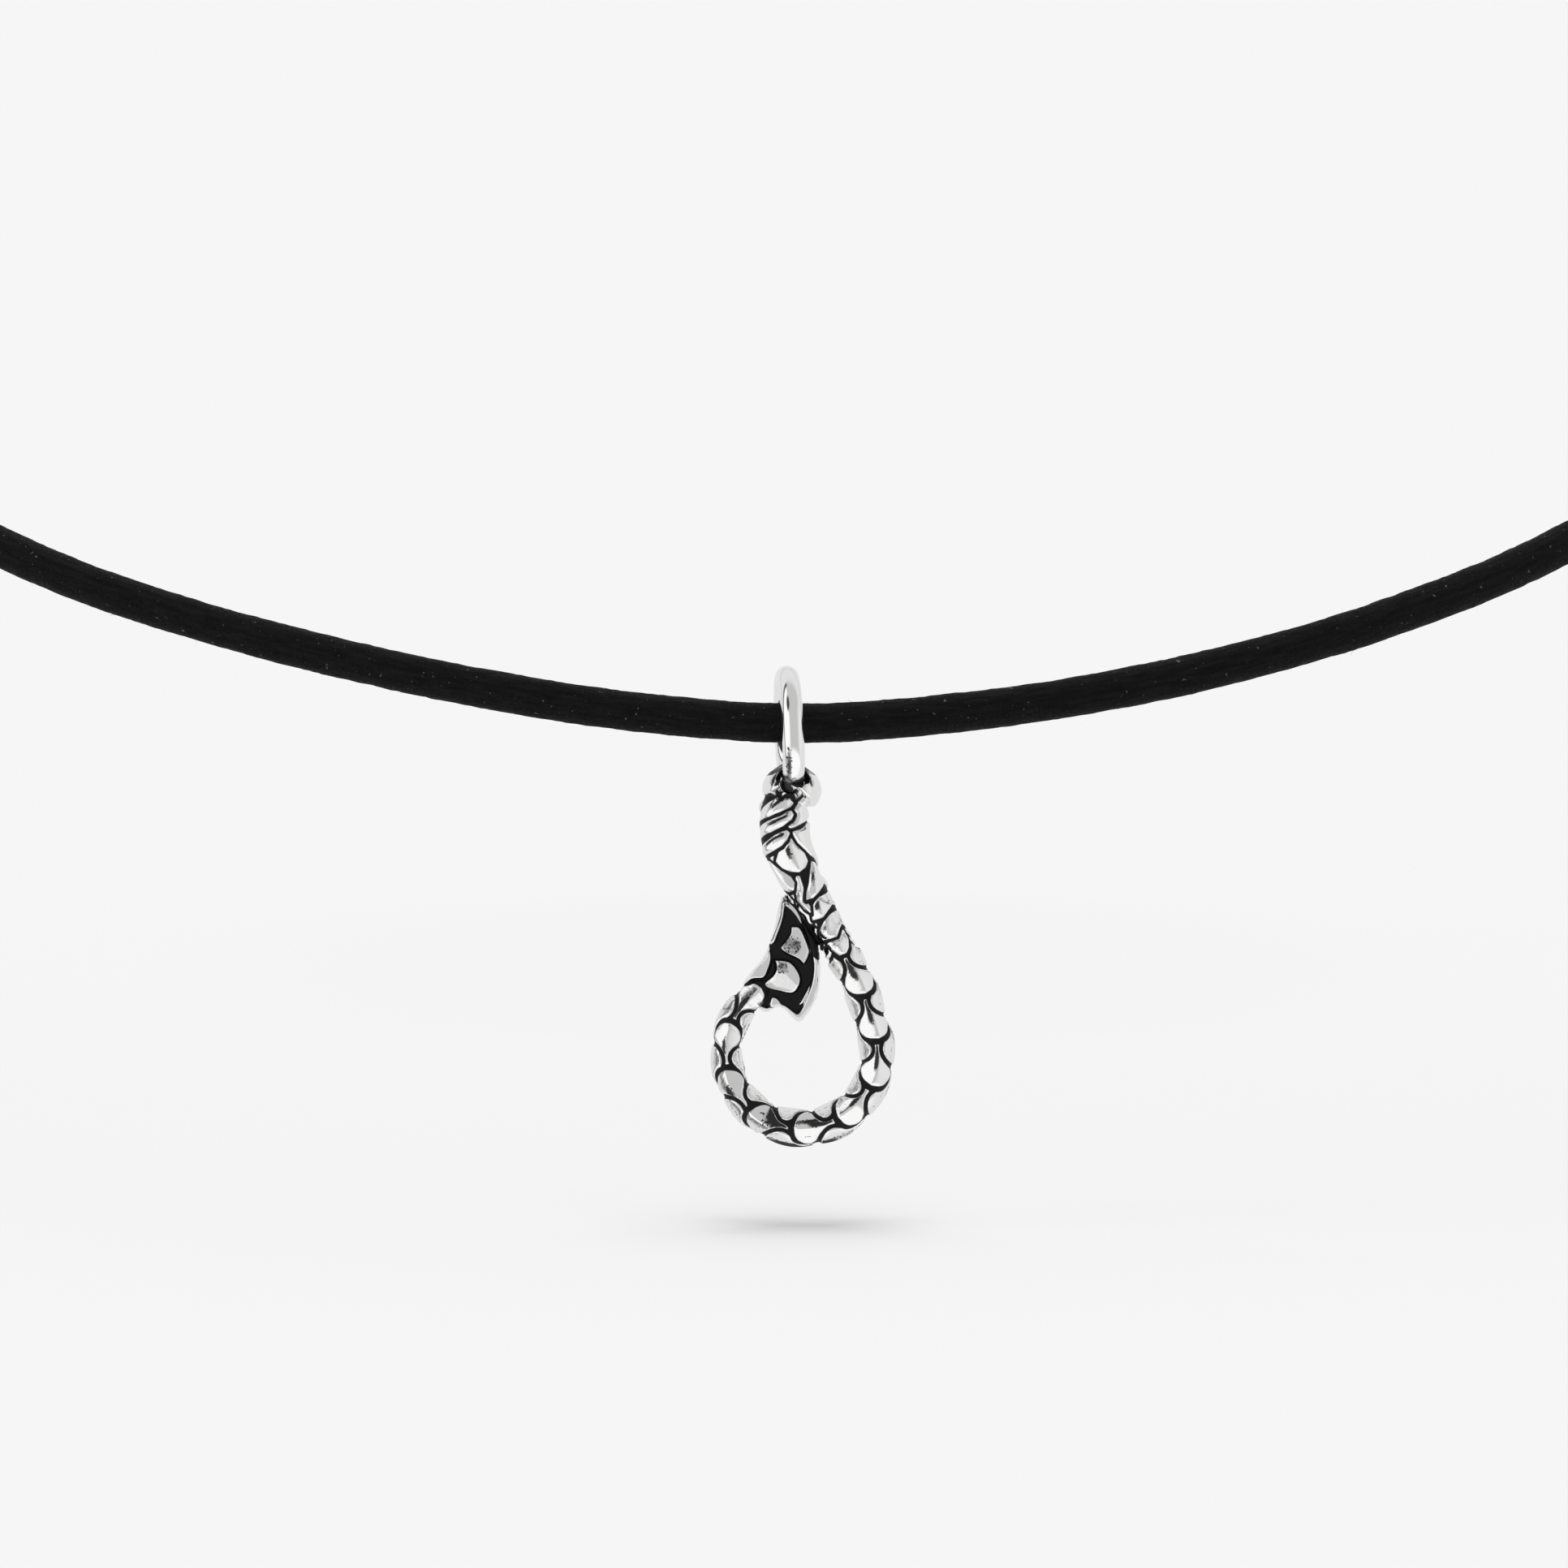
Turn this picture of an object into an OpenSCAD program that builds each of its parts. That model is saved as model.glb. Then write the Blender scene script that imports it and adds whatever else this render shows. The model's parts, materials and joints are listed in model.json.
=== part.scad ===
// Necklace with a cast fish-hook pendant whose body is a scaled tail that ends in a fluke.
// Millimetres, +Z up, front towards -Y. The origin is the middle of the neck loop.

/* [Cord] */
// Diameter of the round cord
cord_d = 2.5; // [2:0.1:3]
// Tilt of the worn loop, front down
loop_tilt = 34; // [30:1:38]

/* [Ring] */
// Wire thickness of the jump ring
wire_d = 1.45; // [1.3:0.05:1.5]
// Outer diameter of the jump ring
ring_d = 8.1; // [7.9:0.05:8.3]
// Turn of the hanging ring about the vertical
ring_turn = 5; // [0:1:8]
// Gap between the cord's top and the ring that hangs over it
hang_gap = 0.6; // [0.3:0.05:0.7]

/* [Hook] */
// Height of a scale's keel over the groove round it
relief = 0.3; // [0.2:0.02:0.36]
// Radius of the hook's bend, at the middle of the body
bend_r = 4.74; // [4.6:0.02:4.9]
// Distance from one scale's tip to the next one in its row
scale_pitch = 2.935; // [2.9:0.005:2.97]
// Length of one scale
scale_len = 2.62; // [2.4:0.02:2.7]
// Widest place of one scale, measured round the body
scale_width = 2.7; // [2.4:0.05:2.8]
// Thickness of the fluke
fluke_t = 1.7; // [1.4:0.1:2]
// Width of the fluke's raised rim
rim_w = 0.46; // [0.36:0.02:0.5]
// Depth of the sunken field inside the rim
field_depth = 0.4; // [0.3:0.05:0.5]

/* [Clasp] */
// Diameter of the plain barrel clasp at the nape
clasp_d = 4.2; // [4:0.1:5]
// Length of the clasp
clasp_len = 16; // [14:1:20]

/* [Hidden] */
$fn = 48;
eps = 0.01;

// The cord's route in the plane of the loop: columns are sideways, forward
route = [
    [4, -72.2], [9, -72], [18, -70], [28, -66.5], [38, -61.4], [51, -51.1],
    [62.5, -36.1], [70, -17.7], [72.2, 0.5], [70, 18], [64, 33.4], [56.5, 44.2],
    [48, 52.8], [40, 58.9], [30, 64.6], [20, 68.6], [10, 71.2], [0, 72.3],
    [-10, 71], [-20, 68.2], [-30, 64.3], [-40, 59.3], [-48, 54], [-56.5, 46],
    [-64, 35.6], [-70, 20], [-72.4, 1], [-70.3, -17.5], [-62.5, -36.1],
    [-51, -51.1], [-38, -61.4], [-28, -66.5], [-18, -70], [-9, -72], [-4, -72.2]
];
cord_sides = 8;
cord_step = 6;
route_steps = 12;
loop_front = max([for (p = route) p[1]]);
nape = -min([for (p = route) p[1]]);
// Room round the cord's end in the clasp
socket_gap = 0.1;

// The hook is laid out from the middle of the ring's lowest wire, right and up from there.
// Middle line of the shank: columns are right, up
shank = [
    [-0.31, 1.02], [-0.36, -0.10], [-0.56, -1.63], [-0.46, -3.37], [0.20, -5.05],
    [1.22, -6.99], [2.24, -8.77], [3.26, -10.61], [4.28, -12.55]
];
// The bend is an arc from the shank's side, under, and up to the fluke
bend_centre = [0.61, -16.63];
bend_from = 24;
bend_to = -232;
bend_steps = 14;
// Points of a smooth line to each stretch between two given ones
line_steps = 6;
// The body's last stretch, inside the fluke
body_end = [[-1.53, -12.19], [-0.72, -11.48]];
// Thickness over the scales: columns are distance along the body, thickness
thickness = [
    [0, 2.9], [1.8, 3.1], [3.1, 3.5], [4.6, 3.4], [5.9, 3.25], [8.4, 2.86],
    [10.5, 2.55], [12.6, 2.36], [16, 2.34], [21, 2.4], [25, 2.5], [27, 2.5],
    [30.3, 2.3], [33.8, 2.1], [36, 2.14], [38.5, 2.1], [40.5, 1.5]
];

// Distance to each side over which the line's direction is taken
way_reach = 0.1;
core_rings = 32;
core_sides = 10;

// The four rows of scales that follow the bend
first_tip = 12.55;
row_count = 9;
// Thickness at which a scale has its full width
bend_thickness = 2.4;
// Turn of each front scale round the body, tip and free end the same
row_turn = [12, 12, 6, -6, 0, 15, 14, 4, 0];
// Twisted scales of the shank: columns are tip along, tip round, end along, end round, width.
// Each one is there again on the back, half a turn on.
shank_scales = [
    [0.6, 5, 2.0, -10, 1.3],
    [1.0, 30, 3.62, 40, 1.5],
    [3.2, 78, 5.7, 70, 2.0],
    [3.3, -125, 1.72, 28, 0.95],
    [4.3, -125, 2.7, 22, 0.95],
    [5.3, -118, 4.1, 8, 0.95],
    [3.95, 8, 6.62, -3, 2.25],
    [5.2, -56, 7.5, -46, 1.3],
    [6.6, -7, 9.4, -20, 0.8],
    [5.5, 38, 7.95, 34, 1.6],
    [6.9, 42, 9.4, 20, 1.8],
    [8.5, 36, 10.9, 14, 1.8],
    [9.9, 28, 12.4, 14, 2.0],
    [5.9, 98, 8.5, 92, 1.5],
    [7.5, 96, 10.1, 88, 1.6],
    [9.1, 95, 11.6, 86, 1.6]
];

// Outline of one scale: columns are place from tip to end, share of the half width, share of the relief
scale_form = [[0, 0.06, 0.7], [0.34, 0.56, 0.92], [0.64, 1, 1], [0.86, 0.8, 1], [1, 0.25, 0.9]];
// Across one scale: columns are place from edge to edge, drop below the keel as a share of the relief
scale_cross = [[-1, 0.36], [-0.5, 0.14], [0, 0], [0.5, 0.14], [1, 0.36]];
// How deep a scale is rooted in the core
scale_root = 0.12;

// Outline of the fluke from its upper tip round the outer side: columns are right, up
fluke_outline = [
    [-0.66, -6.72], [-0.1, -7.45], [0.5, -8.25], [1.12, -9.0], [1.45, -9.84], [1.68, -11.2],
    [1.63, -12.55], [1.42, -13.6], [0.92, -14.35], [0.45, -14.72], [0, -14.5],
    [-0.41, -14.0], [-0.92, -13.8], [-1.79, -14.1], [-2.5, -13], [-2.2, -11.6],
    [-1.53, -10.5], [-1.17, -9.74], [-1.05, -8.6], [-0.92, -7.6]
];
// Raised forms in the fluke's field: upper lozenge, lower scale, small half scale
lozenge = [
    [0, -8.65], [0.7, -9.25], [1.18, -10.15], [0.98, -10.95], [0.6, -11.15], [-0.36, -10.45], [-0.78, -9.98]
];
lower_scale = [
    [-1.12, -10.85], [-0.5, -10.8], [0.3, -11.3], [0.55, -12.0], [0.1, -12.9], [-0.82, -12.7], [-1.68, -12.3]
];
half_scale = [[-1.3, -13.1], [-0.85, -13.05], [-0.5, -13.75], [-1.3, -13.8]];
form_height = 0.28;
form_round = 0.1;
// The rim's outer edge is stepped in near each face
edge_step = 0.29;
edge_inset = 0.14;
fluke_steps = 2;
// Low metal that joins the fluke's back edge to the shank
web = [[-0.6, -6.9], [-0.2, -6.4], [0.8, -6.6], [1.8, -8.9], [1.9, -10], [1.2, -9.6], [0.5, -8.4]];

// Eye of the hook: columns are right, up, of three balls that form it
eye_balls = [[-0.5, -0.06], [0.45, -0.12], [0.02, 0.22]];
eye_r = 1.4;
eye_sides = 20;
// Room round the ring's wire in the eye, and how far the hook swings to each side
eye_clear = 0.18;
side_swing = 30;
// Places along the ring, in degrees from its lowest point, between which the eye is cut
way_stops = [-5, 15, 30, 48];
way_sides = 14;

// Places worked out from the sizes above
cord_y = -loop_front * cos(loop_tilt);
cord_z = -loop_front * sin(loop_tilt);
ring_mid_r = (ring_d - wire_d) / 2;
ring_z = cord_z + cord_d / 2 + hang_gap - (ring_d / 2 - wire_d);
hang_z = ring_z - ring_mid_r;

// Smooth curve through four points, at t from the second to the third
function curve_at(a, b, c, d, t) =
    0.5 * (2 * b + (c - a) * t + (2 * a - 5 * b + 4 * c - d) * t * t + (3 * b - a - 3 * c + d) * t * t * t);

// Points of a smooth curve through a list, n to each stretch
function smooth(list, n) = [
    for (i = [0:len(list) - 2], k = [0:n - 1])
        curve_at(
            i > 0 ? list[i - 1] : 2 * list[0] - list[1], list[i], list[i + 1],
            i + 2 < len(list) ? list[i + 2] : 2 * list[i + 1] - list[i], k / n),
    list[len(list) - 1]
];

// Distance from a list's first point to each of its points
function run_lengths(p) = [
    for (i = 0, s = 0; i < len(p); s = s + (i + 1 < len(p) ? norm(p[i + 1] - p[i]) : 0), i = i + 1) s
];

// Middle line of the whole hook
bend = [
    for (i = [0:bend_steps]) let (a = bend_from + (bend_to - bend_from) * i / bend_steps)
        bend_centre + bend_r * [cos(a), sin(a)]
];
body_line = smooth(concat(shank, bend, body_end), line_steps);
body_run = run_lengths(body_line);
body_len = body_run[len(body_run) - 1];
right_at = [for (i = [0:len(body_line) - 1]) [body_run[i], body_line[i][0]]];
up_at = [for (i = [0:len(body_line) - 1]) [body_run[i], body_line[i][1]]];

function body_mid(s) = [lookup(s, right_at), lookup(s, up_at)];
function body_way(s) = let (d = body_mid(s + way_reach) - body_mid(s - way_reach)) d / norm(d);
function core_r(s) = lookup(s, thickness) / 2 - relief;

// Point at a distance along the body, an angle round it from the front, and a radius
function on_body(s, turn, r) =
    let (m = body_mid(s), w = body_way(s))
        [m[0] - r * sin(turn) * w[1], -r * cos(turn), m[1] + r * sin(turn) * w[0]];

// Tube through rings of the same count of points, closed at both ends
module ring_tube(rings) {
    n = len(rings[0]);
    last = len(rings) - 1;
    sides = [for (i = [0:last - 1], k = [0:n - 1])
        [i * n + k, i * n + (k + 1) % n, (i + 1) * n + (k + 1) % n, (i + 1) * n + k]];
    ends = [[for (k = [n - 1:-1:0]) k], [for (k = [0:n - 1]) last * n + k]];
    polyhedron(points = [for (r = rings, p = r) p], faces = concat(sides, ends));
}

// Body under the scales
module core() {
    ring_tube([
        for (i = [0:core_rings]) let (s = way_reach + (body_len - 2 * way_reach) * i / core_rings)
            [for (k = [0:core_sides - 1]) on_body(s, 360 * k / core_sides, core_r(s))]
    ]);
}

// One raised scale with a keel, from its tip to its rounded free end
module scale_plate(tip_s, tip_turn, end_s, end_turn, width) {
    r = lookup((tip_s + end_s) / 2, thickness) / 2;
    run = [end_s - tip_s, (end_turn - tip_turn) * r * PI / 180];
    across = [-run[1], run[0]] / norm(run) * width / 2;
    function spot(u, v, half) = [
        tip_s + u * run[0] + v * half * across[0],
        tip_turn + (u * run[1] + v * half * across[1]) / r * 180 / PI
    ];
    top = [
        for (f = scale_form, c = scale_cross) let (p = spot(f[0], c[0], f[1]))
            on_body(p[0], p[1], core_r(p[0]) + relief * (f[2] - c[1] * f[1]))
    ];
    root = [
        for (f = scale_form, v = [-1, 1]) let (p = spot(f[0], v, f[1]))
            on_body(p[0], p[1], core_r(p[0]) - scale_root)
    ];
    points = concat(top, root);
    hull() polyhedron(points = points, faces = [[for (i = [0:len(points) - 1]) i]]);
}

// Front, back, outer and inner rows; the side rows lie half a pitch further on
module scale_rows() {
    for (i = [0:row_count - 1]) {
        tip = first_tip + i * scale_pitch;
        for (turn = [row_turn[i], row_turn[i] + 180])
            scale_plate(tip, turn, tip + scale_len, turn, scale_width * core_fit(tip));
    }
    for (i = [-1:row_count - 2], turn = [90, -90]) {
        tip = first_tip + (i + 0.5) * scale_pitch;
        scale_plate(tip, turn, tip + scale_len, turn, scale_width * core_fit(tip));
    }
}

// Scales narrow with the body
function core_fit(s) = lookup(s + scale_len / 2, thickness) / bend_thickness;

// Scales of the twisted shank
module shank_rows() {
    for (row = shank_scales, turn = [0, 180])
        scale_plate(row[0], row[1] + turn, row[2], row[3] + turn, row[4]);
}

// Flat shape drawn right and up, as thick as t, lying across the front
module slab(t) {
    rotate([90, 0, 0]) linear_extrude(height = t, center = true) children();
}

// Fluke seen from the front, drawn in by a distance all round
module fluke_shape(inset) {
    offset(delta = -inset) polygon(smooth(concat(fluke_outline, [fluke_outline[0]]), fluke_steps));
}

// Fluke: a raised rim round a sunken field on both faces, with raised forms in it
module fluke() {
    slab(fluke_t - 2 * edge_step) fluke_shape(0);
    slab(fluke_t - 2 * field_depth) polygon(web);
    difference() {
        slab(fluke_t) fluke_shape(edge_inset);
        for (side = [-1, 1]) translate([0, side * fluke_t / 2, 0])
            slab(2 * field_depth) fluke_shape(rim_w);
    }
    for (form = [lozenge, lower_scale, half_scale])
        slab(fluke_t - 2 * (field_depth - form_height))
            offset(r = form_round) offset(delta = -form_round) polygon(form);
}

// Way of the ring's wire through the eye, widened for each angle that the hook swings to
module ring_way() {
    for (side = [-1, 1], i = [0:len(way_stops) - 2])
        hull() for (stop = [way_stops[i], way_stops[i + 1]], swing = [-side_swing, side_swing])
            rotate([0, 0, ring_turn]) rotate([0, swing, 0])
                translate([0, side * ring_mid_r * sin(stop), ring_mid_r * (1 - cos(stop))])
                    sphere(r = wire_d / 2 + eye_clear, $fn = way_sides);
}

module eye() {
    hull() for (b = eye_balls) translate([b[0], 0, b[1]]) sphere(r = eye_r, $fn = eye_sides);
}

// The whole cast hook, hung on the ring
module tail_hook() {
    color("silver") translate([0, cord_y, hang_z]) difference() {
        union() {
            core();
            scale_rows();
            shank_rows();
            fluke();
            eye();
        }
        ring_way();
    }
}

// Closed jump ring over the cord
module bail_ring() {
    color("gainsboro") translate([0, cord_y, ring_z]) rotate([0, 0, ring_turn]) rotate([0, 90, 0])
        rotate_extrude() translate([ring_mid_r, 0]) circle(r = wire_d / 2);
}

// Point of the loop's plane, put where the worn loop lies
function worn(p) = [p[0], -p[1] * cos(loop_tilt), -p[1] * sin(loop_tilt)];

// Round cord from one end of the clasp, round the neck, to the other
module cord() {
    fine = smooth(route, route_steps);
    run = run_lengths(fine);
    side_at = [for (i = [0:len(fine) - 1]) [run[i], fine[i][0]]];
    fore_at = [for (i = [0:len(fine) - 1]) [run[i], fine[i][1]]];
    length = run[len(run) - 1];
    count = ceil(length / cord_step);
    rings = [
        for (i = [0:count]) let (
            s = length * i / count,
            mid = [lookup(s, side_at), lookup(s, fore_at)],
            d = [lookup(s + cord_d, side_at), lookup(s + cord_d, fore_at)]
                - [lookup(s - cord_d, side_at), lookup(s - cord_d, fore_at)],
            out = [d[1], -d[0]] / norm(d),
            up = [0, sin(loop_tilt), -cos(loop_tilt)]
        )
            [for (k = [0:cord_sides - 1]) let (a = 360 * (k + 0.5) / cord_sides)
                worn(mid + cord_d / 2 * cos(a) * out) + cord_d / 2 * sin(a) * up]
    ];
    color("#1c1b1a") ring_tube(rings);
}

// Plain barrel at the nape, with a socket for each end of the cord
module clasp() {
    socket_len = (clasp_len - 2 * route[0][0]) / 2 + eps;
    color("silver") translate([0, nape * cos(loop_tilt), nape * sin(loop_tilt)]) rotate([0, 90, 0])
        difference() {
            cylinder(d = clasp_d, h = clasp_len, center = true);
            for (side = [0, 1]) mirror([0, 0, side]) translate([0, 0, route[0][0]])
                cylinder(d = cord_d + 2 * socket_gap, h = socket_len);
        }
}

tail_hook();
bail_ring();
cord();
clasp();
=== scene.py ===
# %% [markdown]
# Scaled fish-hook pendant on a leather cord
#
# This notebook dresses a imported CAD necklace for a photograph: a cast silver fish hook, whose body is
# a scaled tail and whose barb is a fluke, hangs by a jump ring from a round leather cord.
# The CAD model is loaded first and stays where it is. Each finished piece is modelled in its place,
# in metres, and takes over from the plain solid that holds its room.

# %% Load the CAD frame
import json
import math
from contextlib import contextmanager

import bmesh
import bpy
import numpy as np
from mathutils import Matrix, Vector
from mathutils.kdtree import KDTree

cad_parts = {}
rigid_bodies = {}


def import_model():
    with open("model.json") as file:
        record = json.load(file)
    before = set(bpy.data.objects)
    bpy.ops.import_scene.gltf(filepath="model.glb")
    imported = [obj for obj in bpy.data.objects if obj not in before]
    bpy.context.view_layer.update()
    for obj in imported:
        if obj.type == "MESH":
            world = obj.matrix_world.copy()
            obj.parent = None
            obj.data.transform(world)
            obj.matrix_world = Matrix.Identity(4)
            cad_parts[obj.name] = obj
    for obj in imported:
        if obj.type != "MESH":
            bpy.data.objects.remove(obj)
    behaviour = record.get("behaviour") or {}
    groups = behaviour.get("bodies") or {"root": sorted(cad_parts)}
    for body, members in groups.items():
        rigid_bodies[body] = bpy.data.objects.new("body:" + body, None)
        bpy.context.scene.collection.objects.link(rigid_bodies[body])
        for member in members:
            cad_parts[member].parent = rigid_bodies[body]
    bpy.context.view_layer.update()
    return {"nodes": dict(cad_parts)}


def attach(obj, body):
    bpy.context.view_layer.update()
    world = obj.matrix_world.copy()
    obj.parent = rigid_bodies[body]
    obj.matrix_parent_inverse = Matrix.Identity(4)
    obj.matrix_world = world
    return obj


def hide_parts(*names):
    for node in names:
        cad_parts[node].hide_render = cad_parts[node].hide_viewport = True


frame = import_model()
print("CAD nodes:", sorted(frame["nodes"]))

# %% Millimetres
MM = 0.001
CORD_D = 2.5
LOOP_TILT = math.radians(34)
HANG = np.array([0.0, -59.9394, -44.5046])
print("hook's own origin, the middle of the ring's lowest wire, in mm:", HANG)

# %% [markdown]
# The camera
#
# The photograph is a straight view from the front with a long lens: the cord shows the same thickness
# everywhere, and nothing is seen from above. A camera 2.5 m away with a narrow field does the same.
# The picture's frame is 98.5 mm wide at the pendant, which fixes the lens for a 36 mm wide sensor.

# %% Camera
FRAME_WIDTH = 98.53
CAMERA_AWAY = 2500.0
SENSOR = 36.0

camera = bpy.data.objects.new("camera", bpy.data.cameras.new("camera"))
bpy.context.scene.collection.objects.link(camera)
camera.data.sensor_width = SENSOR
camera.data.lens = SENSOR * CAMERA_AWAY / FRAME_WIDTH
camera.location = Vector((-0.51, HANG[1] - CAMERA_AWAY, -44.255)) * MM
camera.rotation_euler = (math.radians(90), 0, 0)
bpy.context.scene.camera = camera
bpy.context.scene.view_settings.view_transform = "Standard"
print("lens in mm:", round(camera.data.lens))

# %% [markdown]
# Small helpers
#
# Everything here is modelled with Blender's own operators, as by hand. Operators act on what is
# selected, and the CAD nodes are selected after loading, so each piece starts by letting go of all
# the rest. A finished piece has its place in its mesh and its object at the origin.

# %% Helpers for modelling
def let_go():
    """Leaves edit mode and deselects everything."""
    if bpy.context.object and bpy.context.object.mode != "OBJECT":
        bpy.ops.object.mode_set(mode="OBJECT")
    bpy.ops.object.select_all(action="DESELECT")


def hold(piece):
    """Makes one piece the only one selected, and active."""
    let_go()
    piece.select_set(True)
    bpy.context.view_layer.objects.active = piece
    return piece


def settle(piece):
    """Puts the piece's place, turn and size into its mesh."""
    hold(piece)
    bpy.ops.object.transform_apply(location=True, rotation=True, scale=True)
    return piece


def vertex_places(piece):
    """The piece's vertices as rows of millimetres."""
    places = np.empty(len(piece.data.vertices) * 3)
    piece.data.vertices.foreach_get("co", places)
    return places.reshape(-1, 3) / MM


def place_vertices(piece, places):
    """Moves every vertex to its row of millimetres."""
    piece.data.vertices.foreach_set("co", (places * MM).ravel())
    piece.data.update()


def paint(piece, name, values):
    """Keeps one number for each vertex, for a material to read."""
    layer = piece.data.attributes.get(name) or piece.data.attributes.new(name, "FLOAT", "POINT")
    layer.data.foreach_set("value", np.asarray(values, np.float32))


def painted_numbers(piece, name):
    """The numbers painted on a piece's vertices."""
    numbers = np.empty(len(piece.data.vertices), np.float32)
    piece.data.attributes[name].data.foreach_get("value", numbers)
    return numbers


def count_triangles(piece):
    """Triangles of a piece's mesh."""
    return sum(len(face.vertices) - 2 for face in piece.data.polygons)


def ease(x, low, high):
    """Smooth step from 0 at low to 1 at high."""
    t = np.clip((x - low) / (high - low), 0, 1)
    return t * t * (3 - 2 * t)


def hump(x, width):
    """1 where x is 0, falling smoothly to nothing at about twice the width."""
    return np.exp(-((x / width) ** 2))


def round_over(distance, radius):
    """Height from 0 at an edge to 1 inside it, as on an edge rounded with this radius."""
    return np.sqrt(np.clip(1 - (1 - np.clip(distance / radius, 0, 1)) ** 2, 0, 1))


def smooth_line(points, steps):
    """A smooth line through the points, with so many steps between two of them."""
    given = np.array(points, float)
    ends = np.vstack([2 * given[0] - given[1], given, 2 * given[-1] - given[-2]])
    t = (np.arange(steps) / steps)[:, None]
    stretches = []
    for a, b, c, d in zip(ends, ends[1:], ends[2:], ends[3:]):
        bent = (2 * a - 5 * b + 4 * c - d) * t**2 + (3 * b - a - 3 * c + d) * t**3
        stretches.append(0.5 * (2 * b + (c - a) * t + bent))
    return np.vstack(stretches + [given[-1:]])


def distance_along(line):
    """Distance from a line's first point to each of its points."""
    return np.concatenate([[0], np.cumsum(np.linalg.norm(np.diff(line, axis=0), axis=1))])


@contextmanager
def editing(piece):
    """Edit mode, with the whole piece selected at first."""
    hold(piece)
    bpy.ops.object.mode_set(mode="EDIT")
    bpy.ops.mesh.select_all(action="SELECT")
    yield
    bpy.ops.object.mode_set(mode="OBJECT")


def cut_across(piece, places, axis):
    """Cuts a ring of edges across a piece at each place along an axis, in metres."""
    with editing(piece):
        for place in places:
            bpy.ops.mesh.select_all(action="SELECT")
            bpy.ops.mesh.bisect(plane_co=Vector(axis) * place, plane_no=axis)


def pick_faces(piece, chosen):
    """Enters edit mode in face selection, with only the chosen faces selected."""
    hold(piece)
    bpy.ops.object.mode_set(mode="EDIT")
    bpy.ops.mesh.select_mode(type="FACE")
    bpy.ops.mesh.select_all(action="DESELECT")
    bpy.ops.object.mode_set(mode="OBJECT")
    piece.data.polygons.foreach_set("select", np.asarray(chosen, bool))
    bpy.ops.object.mode_set(mode="EDIT")


# %% A sheet to roll up
def flat_sheet(name, steps_along, steps_round):
    """A flat grid one unit each way, and each vertex's share of the way along and round."""
    let_go()
    bpy.ops.mesh.primitive_grid_add(
        x_subdivisions=steps_along, y_subdivisions=steps_round, size=1, location=(0.5, 0.5, 0)
    )
    sheet = settle(bpy.context.object)
    sheet.name = sheet.data.name = name
    places = vertex_places(sheet) * MM
    return sheet, places[:, 0], places[:, 1]


def close_seam(piece, gap=0.002):
    """Joins the rolled sheet's two edges and gathers each end into a point."""
    with editing(piece):
        bpy.ops.mesh.remove_doubles(threshold=gap * MM)
        bpy.ops.mesh.normals_make_consistent(inside=False)
    bpy.ops.object.shade_smooth()


# %% [markdown]
# The leather cord
#
# The real cord is a round waxed leather cord, 2.5 mm thick, in one loop of 450 mm round the neck.
# A bevelled curve would give a perfect tube. Here a flat sheet is rolled round the cord's route
# instead, because the sheet's flat map then runs along the leather, and its surface can be made
# slightly uneven and hairy, as cut leather is.

# %% The cord's route
ROUTE = [
    (4, -72.2), (9, -72), (18, -70), (28, -66.5), (38, -61.4), (51, -51.1), (62.5, -36.1),
    (70, -17.7), (72.2, 0.5), (70, 18), (64, 33.4), (56.5, 44.2), (48, 52.8), (40, 58.9), (30, 64.6),
    (20, 68.6), (10, 71.2), (0, 72.3), (-10, 71), (-20, 68.2), (-30, 64.3), (-40, 59.3), (-48, 54),
    (-56.5, 46), (-64, 35.6), (-70, 20), (-72.4, 1), (-70.3, -17.5), (-62.5, -36.1), (-51, -51.1),
    (-38, -61.4), (-28, -66.5), (-18, -70), (-9, -72), (-4, -72.2),
]
route_line = smooth_line(ROUTE, 24)
route_run = distance_along(route_line)
print("cord between the clasp's sockets in mm:", round(route_run[-1], 1))


def loop_place(along):
    """Place on the cord's middle line, sideways and forward in the loop's plane."""
    across = np.interp(along, route_run, route_line[:, 0])
    forward = np.interp(along, route_run, route_line[:, 1])
    return np.stack([across, forward], -1)


def worn(places):
    """Tilts places of the loop's plane to where a neck holds them."""
    tilted = -places[:, 1:] * np.array([math.cos(LOOP_TILT), math.sin(LOOP_TILT)])
    return np.hstack([places[:, :1], tilted])


# %% The cord's surface
CORD_RINGS = 1350
CORD_SIDES = 32
GRAINS = [(1350, 32, 0.011), (500, 12, 0.016), (120, 5, 0.018)]
MOST_WOBBLE = 0.045
CORD_INSET = 0.012

cord, share_along, share_round = flat_sheet("leather_cord", CORD_RINGS, CORD_SIDES)
cord_along = share_along * route_run[-1]
cord_turn = share_round * 2 * math.pi

chance = np.random.default_rng(11)
wobble = np.zeros((CORD_RINGS + 1, CORD_SIDES + 1))
for grain_rings, grain_sides, height in GRAINS:
    coarse = chance.normal(size=(grain_rings + 1, grain_sides))
    coarse = np.hstack([coarse, coarse[:, :1]])
    rows = np.linspace(0, grain_rings, CORD_RINGS + 1)
    columns = np.linspace(0, grain_sides, CORD_SIDES + 1)
    across = np.array([np.interp(columns, np.arange(grain_sides + 1), row) for row in coarse])
    wobble += height * np.array([np.interp(rows, np.arange(grain_rings + 1), c) for c in across.T]).T
row = np.rint(share_along * CORD_RINGS).astype(int)
column = np.rint(share_round * CORD_SIDES).astype(int)

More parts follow.
